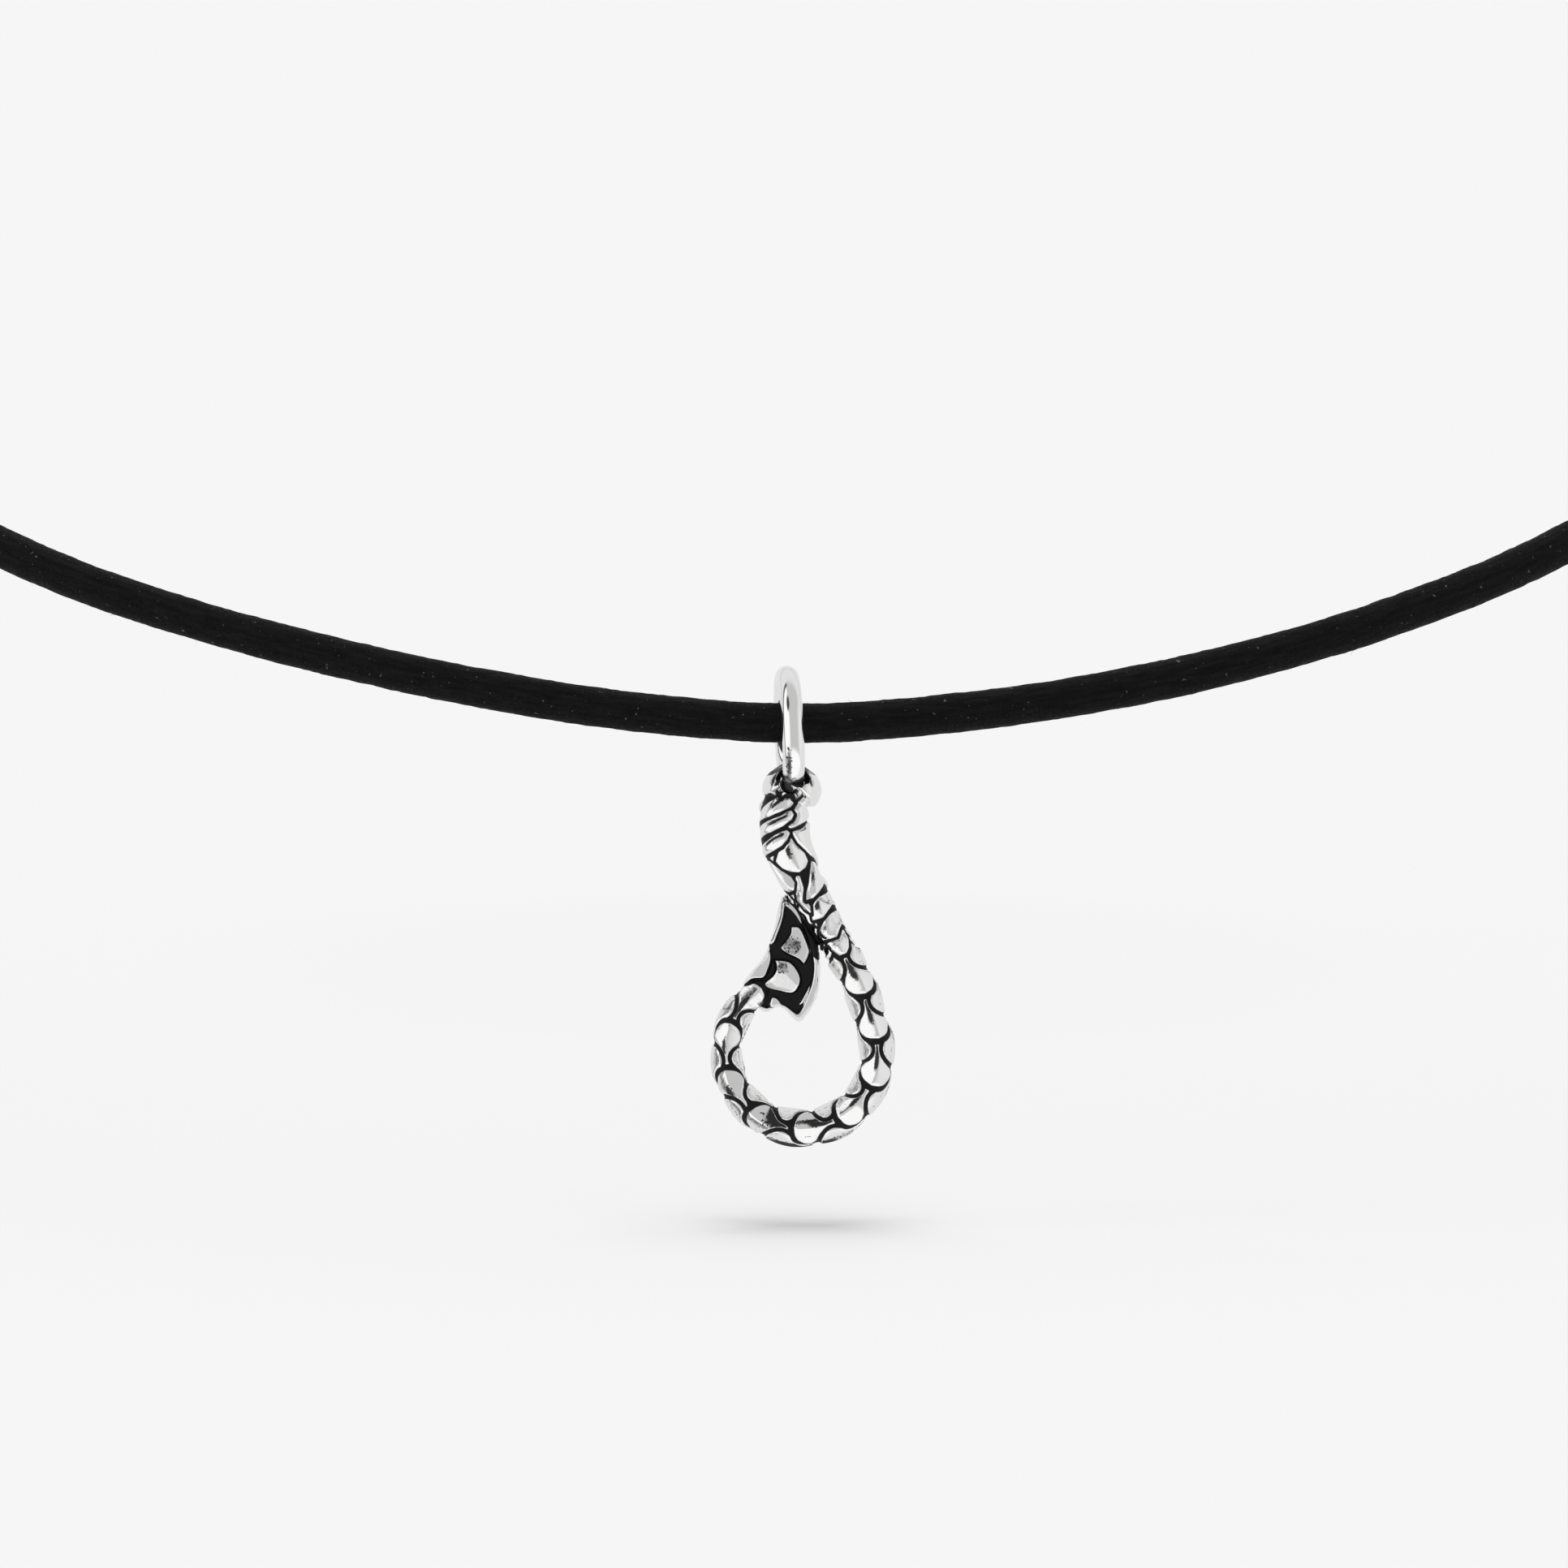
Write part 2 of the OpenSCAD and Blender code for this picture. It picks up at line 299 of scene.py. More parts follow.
middle = loop_place(cord_along)
way = loop_place(np.minimum(cord_along + 1, route_run[-1])) - loop_place(np.maximum(cord_along - 1, 0))
way /= np.linalg.norm(way, axis=1)[:, None]
outward = np.stack([way[:, 1], -way[:, 0]], -1)
up_from_loop = np.array([0, math.sin(LOOP_TILT), -math.cos(LOOP_TILT)])
cord_r = CORD_D / 2 - CORD_INSET + np.clip(wobble[row, column], -MOST_WOBBLE, MOST_WOBBLE)
cord_r[(row == 0) | (row == CORD_RINGS)] = 0
places = worn(middle + (cord_r * np.cos(cord_turn))[:, None] * outward)
places += (cord_r * np.sin(cord_turn))[:, None] * up_from_loop
place_vertices(cord, places)
close_seam(cord)
print("cord:", count_triangles(cord), "triangles")

# %% [markdown]
# Loose fibres
#
# A few fine hairs stand off cut leather and catch the light. One hair is a thin three-sided spike
# on a short bent line. All hairs are small, so each has only a few faces, and they are joined to
# the cord.

# %% Fibres on the cord
FIBRES = 70
FIBRE_STEPS = 5
CORD_END = 20
let_go()
bpy.ops.mesh.primitive_cylinder_add(vertices=3, radius=1, depth=1, location=(0, 0, 0.5))
fibre = settle(bpy.context.object)
fibre.name = "fibre"
cut_across(fibre, [cut / FIBRE_STEPS for cut in range(1, FIBRE_STEPS)], (0, 0, 1))
fibre_form = vertex_places(fibre) * MM

fibres = []
for number in range(FIBRES):
    at = chance.uniform(CORD_END, route_run[-1] - CORD_END)
    turn = chance.uniform(0, 2 * math.pi)
    spot = loop_place(np.array([at]))
    ahead = loop_place(np.array([at + 0.5])) - spot
    ahead /= np.linalg.norm(ahead)
    side = np.stack([ahead[:, 1], -ahead[:, 0]], -1)
    away = worn(spot + math.cos(turn) * side) - worn(spot) + math.sin(turn) * up_from_loop
    root = worn(spot) + (CORD_D / 2 - 0.04) * away
    forth = worn(spot + ahead) - worn(spot)
    cross = np.cross(away, forth)
    length = chance.uniform(0.4, 1.3)
    lean = chance.uniform(-1.2, 1.2)
    curl = chance.uniform(-0.9, 0.9)
    t = fibre_form[:, 2:]
    line = root + away * (0.16 + 0.3 * length * t * (1 - 0.6 * t)) * t
    line = line + forth * lean * length * t + cross * curl * length * t**2
    thin = 0.014 * (1 - 0.7 * t)
    hair = fibre.copy()
    hair.data = fibre.data.copy()
    bpy.context.scene.collection.objects.link(hair)
    place_vertices(hair, line + thin * (fibre_form[:, :1] * away + fibre_form[:, 1:2] * cross))
    fibres.append(hair)
bpy.data.objects.remove(fibre)
hold(cord)
for hair in fibres:
    hair.select_set(True)
bpy.ops.object.join()
print("fibres joined to the cord:", len(fibres))

# %% [markdown]
# The jump ring
#
# The bail is a closed ring of round wire, 1.4 mm thick, turned a little to one side and leaning as
# in the photograph. A torus has that shape already. What a bare torus lacks is the joint, where the
# wire's two ends were soldered, so a fine seam is pressed in at the back of the ring, and the wire
# is made very slightly uneven by polishing. Painted shade darkens the wire where it passes through
# the hook's eye, and a painted dark reflection runs as a streak down the front of its lower half.

# %% Jump ring
WIRE_D = 1.4
RING_R = 3.39
WIRE_UP = 0.2
RING_TURN = math.radians(4)
RING_LEAN = math.radians(-2.6)
WIRE_LOW = HANG + np.array([-0.18, 0, WIRE_UP])

ring_middle = WIRE_LOW + np.array([0, 0, RING_R])
SEAM_AT = math.radians(76)
SEAM_WIDTH = 0.06
SEAM_DEPTH = 0.025
POLISH_WAVE = 0.006
# Darkness of the painted dark reflection streak down the ring's front.
STREAK_DARK = 0.74


def ring_torus(wire_r, steps_along, steps_round):
    """A ring of round wire in the jump ring's place."""
    let_go()
    bpy.ops.mesh.primitive_torus_add(
        major_segments=steps_along, minor_segments=steps_round, major_radius=RING_R * MM,
        minor_radius=wire_r * MM, location=ring_middle * MM,
        rotation=(0, math.radians(90) + RING_LEAN, RING_TURN),
    )
    return settle(bpy.context.object)


bail = ring_torus(WIRE_D / 2, 192, 48)
bail.name = bail.data.name = "bail_ring_wire"
places = vertex_places(bail)
from_middle = places - ring_middle
angle = np.arctan2(from_middle[:, 1], from_middle[:, 2])
in_plane = np.stack([np.zeros(len(places)), np.sin(angle), np.cos(angle)], -1) * RING_R
from_wire = from_middle - in_plane
seam = hump((angle - SEAM_AT) * RING_R, SEAM_WIDTH)
worn_wire = 1 - SEAM_DEPTH * seam + POLISH_WAVE * np.sin(5 * angle + 1) * np.sin(3 * angle)
place_vertices(bail, ring_middle + in_plane + from_wire * worn_wire[:, None])
# Painted light: a dark reflection as a streak down the front of the lower wire, and painted shade on the
# wire inside the hook's eye.
low_front = ease(-angle, math.radians(91), math.radians(112)) * (angle < 0)
streak_width = 0.27 + 0.4 * ease(-angle, math.radians(130), math.radians(150))
facing = hump(from_wire[:, 0], streak_width) * (from_wire[:, 1] < 0.2)
in_eye = ease(HANG[2] - places[:, 2] + 0.35 * np.abs(from_wire[:, 0]), -0.8, -0.1)
paint(bail, "ring_shade_and_reflection", np.maximum(STREAK_DARK * facing * low_front, in_eye))
hold(bail)
bpy.ops.object.shade_smooth()
print("ring:", count_triangles(bail), "triangles")

# %% [markdown]
# The hook's middle line
#
# The hook's body is a round bar that twists down from the eye and bends under into the fluke. Its
# shape comes from one middle line and a thickness for each place on it. The same numbers stand in
# the CAD source, so that the cast piece fits its plain solid.

# %% Middle line and thickness
SHANK = [
    (-0.31, 1.02), (-0.36, -0.10), (-0.56, -1.63), (-0.46, -3.37), (0.20, -5.05), (1.22, -6.99),
    (2.24, -8.77), (3.26, -10.61), (4.28, -12.55),
]
BEND_CENTRE = np.array([0.61, -16.63])
BEND_R = 4.74
BEND = [
    tuple(BEND_CENTRE + BEND_R * np.array([math.cos(a), math.sin(a)]))
    for a in np.radians(np.linspace(24, -232, 15))
]
BODY_END = [(-1.53, -12.19), (-0.72, -11.48)]
THICKNESS = np.array([
    (0, 2.9), (1.8, 3.1), (3.1, 3.5), (4.6, 3.4), (5.9, 3.25), (8.4, 2.86), (10.5, 2.55), (12.6, 2.36),
    (16, 2.34), (21, 2.4), (25, 2.5), (27, 2.5), (30.3, 2.3), (33.8, 2.1), (36, 2.14), (38.7, 2.1),
    (39.2, 1.5), (39.8, 1.0), (40.5, 0.9),
])
body_line = smooth_line(SHANK + BEND + BODY_END, 24)
body_run = distance_along(body_line)
first_way = (body_line[1] - body_line[0]) / np.linalg.norm(body_line[1] - body_line[0])
print("length of the hook's middle line in mm:", round(body_run[-1], 2))


def body_middle(along):
    """Right and up of the middle line; above the line's start it runs straight on."""
    right = np.interp(along, body_run, body_line[:, 0])
    up = np.interp(along, body_run, body_line[:, 1])
    return np.stack([right, up], -1) + np.minimum(along, 0)[..., None] * first_way


def body_way(along):
    """Direction of the middle line."""
    way = body_middle(along + 0.15) - body_middle(along - 0.15)
    return way / np.linalg.norm(way, axis=-1, keepdims=True)


def outer_r(along):
    """Radius over the scales' keels."""
    return np.interp(along, THICKNESS[:, 0], THICKNESS[:, 1]) / 2


def round_body(along, turn, radius):
    """Places round the body: turn 0 is its front, and a quarter turn is its outer side."""
    mid = body_middle(along)
    way = body_way(along)
    right = mid[:, 0] - radius * np.sin(turn) * way[:, 1]
    up = mid[:, 1] + radius * np.sin(turn) * way[:, 0]
    return np.stack([right, -radius * np.cos(turn), up], -1)


# %% [markdown]
# Which scale lies where
#
# On the bend each scale is a drop: a narrow tip, a widest place about two thirds of the way, and a
# round free end, set by where its tip and its end are, along the body and round it in degrees, and
# by its width. On the shank no two scales are alike, because the shank twists. There each has its
# own outline, right and up of the hook's origin as seen from the front, after the two ends of its
# keel and before the strength of its painted dark reflection streak. What lies beyond the silhouette
# goes on round the side. Earlier rows lie on later ones, and each scale has its twin half a turn on,
# at the back. A row of SIDE_PLATES gives its tip and its end, each along and round, and then its width.

# %% Tables of scales
TRACED_PLATES = [
    ([(-0.71, -0.05), (0.31, -0.71)], [(-0.76, -0.56), (-0.66, -0.2), (-0.41, 0.05), (0, -0.2),
        (0.33, -0.56), (0.36, -0.82), (0, -0.46), (-0.41, -0.41)], 0.7),
    ([(-0.05, -0.51), (-1.94, -1.94)], [(-3.16, -2.65), (-3.16, -1.94), (-2.35, -1.53), (-1.84, -0.97),
        (-1.33, -0.66), (-0.71, -0.41), (-0.05, -0.36), (0.31, -0.56), (0.36, -0.87), (0, -1.22),
        (-0.82, -1.53), (-1.58, -1.84), (-2.35, -2.24)], 0.9),
    ([(-0.1, -1.68), (-2.04, -3.06)], [(-3.16, -3.88), (-3.16, -3.06), (-2.35, -2.6), (-1.84, -2.09),
        (-1.07, -1.84), (-0.41, -1.53), (0.05, -1.43), (0.26, -1.63), (0.1, -1.99), (-0.56, -2.4),
        (-1.33, -2.75), (-2.35, -3.42)], 0.9),
    ([(-0.36, -2.91), (-1.94, -4.28)], [(-3.06, -5.1), (-3.06, -4.28), (-2.19, -3.77), (-1.78, -3.37),
        (-1.33, -3.06), (-0.71, -2.7), (-0.26, -2.6), (-0.05, -2.8), (-0.26, -3.26), (-0.66, -3.67),
        (-1.27, -4.03), (-2.14, -4.64)], 0.9),
    ([(0.41, -0.92), (-0.05, -2.5)], [(0.26, -0.51), (0.61, -0.66), (1.02, -1.17), (1.43, -1.43),
        (1.94, -1.53), (2.35, -1.63), (2.24, -2.14), (1.63, -1.94), (1.17, -1.89), (0.71, -2.29),
        (0.2, -2.5), (-0.51, -2.55), (-0.31, -2.09), (0.05, -1.73), (0.36, -1.12)], 0),
    ([(-0.26, -3.06), (0.46, -5.2)], [(-0.2, -2.86), (0.05, -3.11), (0.36, -3.57), (0.97, -4.03),
        (1.17, -4.49), (0.97, -4.95), (0.46, -5.3), (-0.15, -5.35), (-0.76, -5.1), (-1.22, -4.69),
        (-1.02, -4.18), (-0.82, -3.82), (-0.51, -3.47)], 0.8),
    ([(0.46, -2.91), (1.84, -4.49)], [(0.1, -2.7), (0.71, -2.55), (1.17, -2.09), (1.63, -2.14),
        (2.35, -2.24), (2.96, -2.65), (3.06, -4.08), (2.24, -4.69), (1.73, -4.49), (1.33, -4.18),
        (1.02, -3.88), (0.51, -3.57), (0.2, -3.11)], 0),
    ([(-1.43, -4.9), (-0.15, -6.48)], [(-2.35, -4.59), (-1.58, -4.69), (-1.22, -4.95), (-0.71, -5.3),
        (-0.15, -5.61), (0.1, -6.02), (0, -6.48), (-0.36, -6.63), (-0.87, -6.43), (-1.58, -5.81),
        (-2.24, -5.3)], 0.5),
    ([(1.43, -4.64), (1.53, -6.94)], [(1.38, -4.54), (1.84, -4.59), (2.35, -4.9), (2.96, -5.51),
        (2.75, -6.12), (2.24, -5.92), (1.89, -6.43), (1.33, -6.88), (0.76, -7.09), (0.87, -6.58),
        (1.07, -6.02), (1.17, -5.3)], 0.8),
    ([(0.31, -5.61), (0.92, -7.75)], [(0.2, -5.51), (0.51, -5.51), (0.71, -6.22), (0.71, -6.88),
        (1.12, -7.45), (1.12, -7.96), (0.61, -7.7), (0.15, -7.19), (0.1, -6.38)], 0.7),
    ([(1.68, -6.83), (1.84, -8.21)], [(1.48, -7.09), (1.84, -6.78), (2.24, -6.48), (2.75, -6.17),
        (3.37, -6.53), (3.37, -7.24), (2.7, -7.19), (2.45, -7.55), (1.94, -8.11), (1.12, -8.41),
        (1.12, -7.85), (1.27, -7.34)], 0.9),
    ([(2.19, -8.16), (2.24, -9.54)], [(1.84, -8.57), (2.14, -8.16), (2.6, -7.8), (3.11, -7.45),
        (3.77, -7.75), (3.88, -8.57), (3.31, -8.47), (3.16, -8.77), (2.86, -9.28), (2.35, -9.54),
        (1.58, -9.69), (1.53, -9.13)], 0.8),
    ([(2.75, -9.13), (3.11, -10.46)], [(2.55, -9.49), (3.01, -8.77), (3.47, -8.82), (3.72, -9.33),
        (3.72, -9.94), (3.47, -10.35), (2.91, -10.56), (2.35, -10.25), (2.04, -9.89)], 0.9),
]
SIDE_PLATES = [
    (5.7, 108, 8.4, 104, 2.2), (7.4, 108, 10.1, 104, 2.2), (9.0, 108, 11.7, 104, 2.2),
    (6.2, -60, 8.9, -66, 2.2), (7.8, -66, 10.5, -72, 2.2), (9.5, -70, 12.3, -76, 2.2),
]
FIRST_TIP = 12.55
SCALE_PITCH = 2.935
SCALE_LENGTH = 2.72
SCALE_WIDTH = 3.0
ROW_TURN = [12, 12, 6, -6, 0, 15, 14, 4, 0]
# Strength of each bend row's painted dark reflection streak.
ROW_STREAK = [0.9, 0.9, 0.95, 1.15, 1.2, 1.2, 1.05, 0.85, 1.4]
BEND_THICKNESS = 2.4


def scale_fit(tip):
    """How much wider or narrower a scale is than on a body of the usual thickness."""
    return 2 * outer_r(tip + SCALE_LENGTH / 2) / BEND_THICKNESS


bend_scales = []
for i, turn in enumerate(ROW_TURN):
    tip = FIRST_TIP + i * SCALE_PITCH
    for half in (0, 180):
        bend_scales.append((tip, turn + half, tip + SCALE_LENGTH, turn + half, SCALE_WIDTH * scale_fit(tip)))
for i in range(-1, len(ROW_TURN) - 1):
    tip = FIRST_TIP + (i + 0.5) * SCALE_PITCH
    for turn in (90, -90):
        bend_scales.append((tip, turn, tip + SCALE_LENGTH, turn, SCALE_WIDTH * scale_fit(tip)))
bend_scales.sort()
side_scales = [(a, b + half, c, d + half, e) for a, b, c, d, e in SIDE_PLATES for half in (0, 180)]
print("scales on the body:", 2 * len(TRACED_PLATES) + len(side_scales) + len(bend_scales))

# %% [markdown]
# Raising one scale
#
# The sheet's height is worked out for each vertex, as a sculptor would build up clay on a slab. A
# vertex's distance from the drop's outline says whether it is on the plate, on its wall or in the
# groove. On the plate the keel is highest, and the two sides fall away from it nearly flat and
# round off towards the outline.

# %% Outline and height of a scale
DROP = np.array([
    (0, 0.2), (0.05, 0.27), (0.15, 0.37), (0.3, 0.52), (0.45, 0.74), (0.56, 0.94), (0.64, 1.0),
    (0.72, 0.99), (0.8, 0.92), (0.88, 0.76), (0.94, 0.55), (0.98, 0.3), (1.0, 0.0),
])
GROOVE_GAP = 0.18
WALL = 0.15
RELIEF = 0.27
KEEL_DROP = 0.14
END_DROP = 0.13
FACET_SLOPE = math.radians(30)
KEEL_EASE = 0.06
EDGE_ROUND = 0.09
MOST_FALL = 0.24
LEAST_FALL = 0.04
PLAIN_DROP = 0.06


def inside_outline(x, y, outline):
    """Distance inside a closed outline, in the outline's own units; outside it is negative."""
    corners = np.asarray(outline, float)
    nearest = np.full(len(x), np.inf)
    crossings = np.zeros(len(x), bool)
    for (x0, y0), (x1, y1) in zip(corners, np.roll(corners, -1, axis=0)):
        dx, dy = x1 - x0, y1 - y0
        t = np.clip(((x - x0) * dx + (y - y0) * dy) / (dx * dx + dy * dy + 1e-12), 0, 1)
        nearest = np.minimum(nearest, np.hypot(x - x0 - t * dx, y - y0 - t * dy))
        if y0 != y1:
            crossings ^= ((y0 > y) != (y1 > y)) & (x < (x1 - x0) * (y - y0) / (y1 - y0) + x0)
    return np.where(crossings, nearest, -nearest)


def drop_outline(length, width):
    """The drop's outline, closed, tip at the origin."""
    u = np.linspace(0, 1, 25)
    half = np.interp(u, DROP[:, 0], DROP[:, 1]) * width / 2
    far = np.stack([u * length, half], -1)
    return np.vstack([far, far[::-1] * (1, -1)])


def scale_surface(radius, u, across, half_width):
    """Radius on a plate: a keel, and two flat sides that fall away from it."""
    lift = -KEEL_DROP * np.clip(1 - u / 0.5, 0, 1) ** 2 - END_DROP * np.clip((u - 0.5) / 0.5, 0, 1) ** 2
    keel = radius + lift
    half_turn = np.clip(half_width / radius, 0.12, 1.1)
    edge = keel / (np.cos(half_turn) + math.tan(FACET_SLOPE) * np.sin(half_turn))
    edge = np.clip(edge, keel - MOST_FALL, keel - LEAST_FALL)
    slope = np.arctan2(keel - edge * np.cos(half_turn), edge * np.sin(half_turn))
    turn = np.sqrt((across / radius) ** 2 + KEEL_EASE**2) - 0.4 * KEEL_EASE
    flat_side = keel * np.cos(slope) / np.cos(np.minimum(turn, 1.3) - slope)
    rounding = EDGE_ROUND * np.clip(np.abs(across) / half_width, 0, 1.2) ** 3
    return np.minimum(flat_side, keel - 0.02 - 0.1 * np.clip(turn / 1.3 - 0.5, 0, 1)) - rounding


def on_sheet(places):
    """Along and round, in degrees, of places drawn in the front view."""
    found = []
    for place in np.asarray(places, float):
        nearest = np.argmin(np.linalg.norm(body_line - place, axis=1))
        along = body_run[nearest]
        way = body_way(np.array([along]))[0]
        share = (place - body_line[nearest]) @ np.array([-way[1], way[0]]) / outer_r(along)
        round_ = math.asin(np.clip(share, -1, 1)) + share - np.clip(share, -1, 1)
        found.append((along, math.degrees(round_)))
    return np.array(found)


def plate_form(tip, end, outline=None, width=None, half=0):
    """A plate's place and outline in its own measures: along its keel and across it."""
    local_r = float(outer_r((tip[0] + end[0]) / 2))
    run = np.array([end[0] - tip[0], math.radians(end[1] - tip[1]) * local_r])
    length = np.linalg.norm(run)
    run /= length
    if outline is None:
        form = drop_outline(length, width)
        halves = np.interp(np.linspace(0, 1, 9), DROP[:, 0], DROP[:, 1]) * width / 2
        sides = (halves, halves)
    else:
        off = (outline - tip) * (1, math.radians(1) * local_r)
        form = np.stack([off @ run, off @ np.array([-run[1], run[0]])], -1)
        sides = (np.full(9, -form[:, 1].min()), np.full(9, form[:, 1].max()))
    return tip[0], math.radians(tip[1] + half), local_r, run, length, form, sides


# %% [markdown]
# The eye
#
# The hook's eye is a rounded lump, as wide as the body is thick, with a hole for the ring. Four
# balls give its shape: the lump is everything within about 1.4 mm of the flat figure between their
# centres, drawn out to 5 mm from front to back, so that it hides the wire inside. The rolled sheet
# reaches up over it, so that the eye and the body are one skin: the sheet's first twentieth covers
# the eye's top. A zigzag lip crosses the eye, and above it the metal round the wire is painted shade.

# %% The eye's surface
EYE_BALLS = [(-0.5, -0.06), (0.18, -0.45), (0.47, -0.14), (-0.05, 0.26)]
EYE_R = 1.38
EYE_DEPTH = 1.8
EYE_TOP = -0.62
EYE_SHARE = 0.05
EYE_RUN = 1.6
EYE_SKIN_END = 3.6


def outside_eye(right, depth, up):
    """Distance outside the eye's lump."""
    flat_inside = inside_outline(right, up, EYE_BALLS)
    apart = np.maximum(-flat_inside, 0)
    return np.hypot(apart, depth / EYE_DEPTH) - EYE_R


def eye_r(along, turn):
    """Radius at which a line from the body's middle leaves the eye."""
    near = np.zeros(len(along))
    far = np.full(len(along), 4.0)
    for _ in range(26):
        half = (near + far) / 2
        at = round_body(along, turn, half)
        out = outside_eye(at[:, 0], at[:, 1], at[:, 2]) > 0
        far = np.where(out, half, far)
        near = np.where(out, near, half)
    return near


# %% The eye's lower lip
LIP = [
    (-2.6, -0.8), (-1.94, -0.51), (-1.33, -0.41), (-0.97, -0.1), (-0.71, 0.15), (-0.41, 0.2),
    (-0.05, -0.05), (0.2, -0.31), (0.41, -0.1), (0.82, -0.61), (1.22, -1.28), (2.6, -1.6),
    (2.6, 3), (-2.6, 3),
]
LIP_DEPTH = 1.2
LIP_EDGE = 0.12
# Outline of the painted shade round the wire, above the eye's lip.
RECESS_SHADE = [
    (-1.15, 0.1), (-0.92, 0.62), (-0.6, 1.1), (0.85, 1.0), (0.95, 0.45), (0.6, 0.02), (0.35, -0.02),
    (0.1, 0.12), (-0.35, 0.3), (-0.75, 0.25),
]


def above_lip(places):
    """Distance above the lip's line, seen from the front or from the back."""
    return inside_outline(places[:, 0], places[:, 2], LIP)


# %% Roll the scaled body
BODY_RINGS = 600
BODY_SIDES = 136
LEFTWARD = (-0.85, 0.53)
BEND_START = 11.5
WIDER_GROOVE = 0.045
# Strengths of the painted dark reflections and shade on the plates.
KEEL_DARK = 1.15
UPPER_DARK = 0.8
LINE_DARK = 0.7
BESIDE_DARK = 0.52
CROWN_REFLECTION_DARK = 0.8
hook, share_along, share_round = flat_sheet("tail_hook_casting", BODY_RINGS, BODY_SIDES)
eye_part = share_along < EYE_SHARE
curved = EYE_TOP + EYE_RUN * (1 - np.cos(share_along / EYE_SHARE * math.pi / 2))
straight = (share_along - EYE_SHARE) / (1 - EYE_SHARE)
eye_end = EYE_TOP + EYE_RUN
s = np.where(eye_part, curved, eye_end + straight * (body_run[-1] - eye_end))
turn = (share_round * 2 - 1) * math.pi
front = np.sign(np.cos(turn) + 1e-9)

way = body_way(s)
faces_left = (-way[:, 1] * LEFTWARD[0] + way[:, 0] * LEFTWARD[1]) * front
groove_r = (outer_r(s) - RELIEF) * ease(s, -0.1, 0.9)
radius = groove_r.copy()
FAR_OFF = -9.0
cover, edge_distance, keel_left = np.full((3, len(s)), FAR_OFF)
plate_u = np.zeros(len(s))
streak_strength = np.ones(len(s))
on_side = np.zeros(len(s))
plates = []
for half in (0, 180):
    for (tip, end), outline, strength in TRACED_PLATES:
        tip, end, *outline = on_sheet([tip, end] + outline)
        plates.append((strength, *plate_form(tip, end, np.array(outline), half=half)))
for tip_s, tip_turn, end_s, end_turn, width in side_scales + bend_scales:
    row = round((tip_s - FIRST_TIP) / SCALE_PITCH * 2)
    strength = ROW_STREAK[row // 2] if row >= 0 and row % 2 == 0 else -0.6
    plates.append((strength, *plate_form((tip_s, tip_turn), (end_s, end_turn), width=width)))
for strength, tip_s, tip_turn, local_r, run, length, form, sides in plates:
    round_off = (turn - tip_turn + math.pi) % (2 * math.pi) - math.pi
    along_off = s - tip_s
    near = (np.abs(along_off) < length + 1.5) & (np.abs(round_off) * local_r < length + 2)
    x = along_off[near] * run[0] + round_off[near] * local_r * run[1]
    y = -along_off[near] * run[1] + round_off[near] * local_r * run[0]
    inside = inside_outline(x, y, form)
    free = np.minimum(inside, -cover[near] - GROOVE_GAP)
    u = np.clip(x / length, 0, 1)
    before_keel, past_keel = (np.interp(u * 8, np.arange(9), side) for side in sides)
    half_width = np.where(y < 0, before_keel, past_keel)
    plate = scale_surface(outer_r(s[near]), u, y, np.maximum(half_width, 0.12))
    if strength == 0:
        plate = outer_r(s[near]) - PLAIN_DROP
    height = groove_r[near] + (plate - groove_r[near]) * ease(free, 0, WALL)
    on_plate = free > edge_distance[near]
    spots = np.flatnonzero(near)[on_plate]
    edge_distance[spots] = free[on_plate]
    keel_left[spots] = y[on_plate]
    plate_u[spots] = u[on_plate]
    streak_strength[spots] = abs(strength)
    on_side[spots] = strength < 0
    radius[near] = np.maximum(radius[near], height)
    cover[near] = np.maximum(cover[near], inside)

near_eye = np.flatnonzero(s < EYE_SKIN_END)
eye_skin = eye_r(s[near_eye], turn[near_eye])
lip = above_lip(round_body(s[near_eye], turn[near_eye], eye_skin))
low_skin = eye_skin - LIP_DEPTH * (1 - ease(lip, -0.06, 0.14))
on_eye = low_skin > radius[near_eye]
radius[near_eye] = np.maximum(radius[near_eye], low_skin)
edge_distance[near_eye] = np.where(on_eye, lip + LIP_EDGE, edge_distance[near_eye])
keel_left[near_eye] = np.where(on_eye, FAR_OFF, keel_left[near_eye])
radius[(share_along <= 0) | (share_along >= 1)] = 0

body_places = round_body(s, turn, radius)
# Painted shade of the hollow round the wire, above the lip on the eye's front.
recess_shade = ease(inside_outline(body_places[:, 0], body_places[:, 2], RECESS_SHADE), -0.14, 0.1) * (s < 2)
recess_shade *= ease(above_lip(body_places), 0.08, 0.15)
# A painted dark reflection on the eye's top.
crown_reflection = ease(body_places[:, 2] + 0.2 * np.abs(body_places[:, 0]), 0.9, 1.15) * (s < 2)
# Painted dark reflections and shade on the plates, kept in the keel number: a streak left of each keel, a
# band on the upper side of scales that lie across, a line under them, bands beside the side scales' keels
# and their outer low sides.
left_side = keel_left * faces_left
up_side = keel_left * way[:, 0] * front
lying = np.abs(way[:, 0]) ** 3
streak = hump(left_side - 0.12, 0.1 + 0.08 * streak_strength)
streak *= KEEL_DARK * streak_strength * ease(plate_u, -0.05, 0.1) * (1 - ease(plate_u, 0.45, 0.9))
streak *= 1 - 0.2 * lying
upper_band = UPPER_DARK * lying * streak_strength * (hump(up_side - 0.45, 0.3) * ease(plate_u, 0, 0.3))
lower_line = LINE_DARK * lying * hump(up_side + 0.72, 0.06)
beside_keel = BESIDE_DARK * (hump(np.abs(keel_left) - 0.5, 0.15) * on_side)
outer_low = on_side * (turn > 0) * lying * (1 - ease(np.abs(keel_left), 0.3, 0.85))
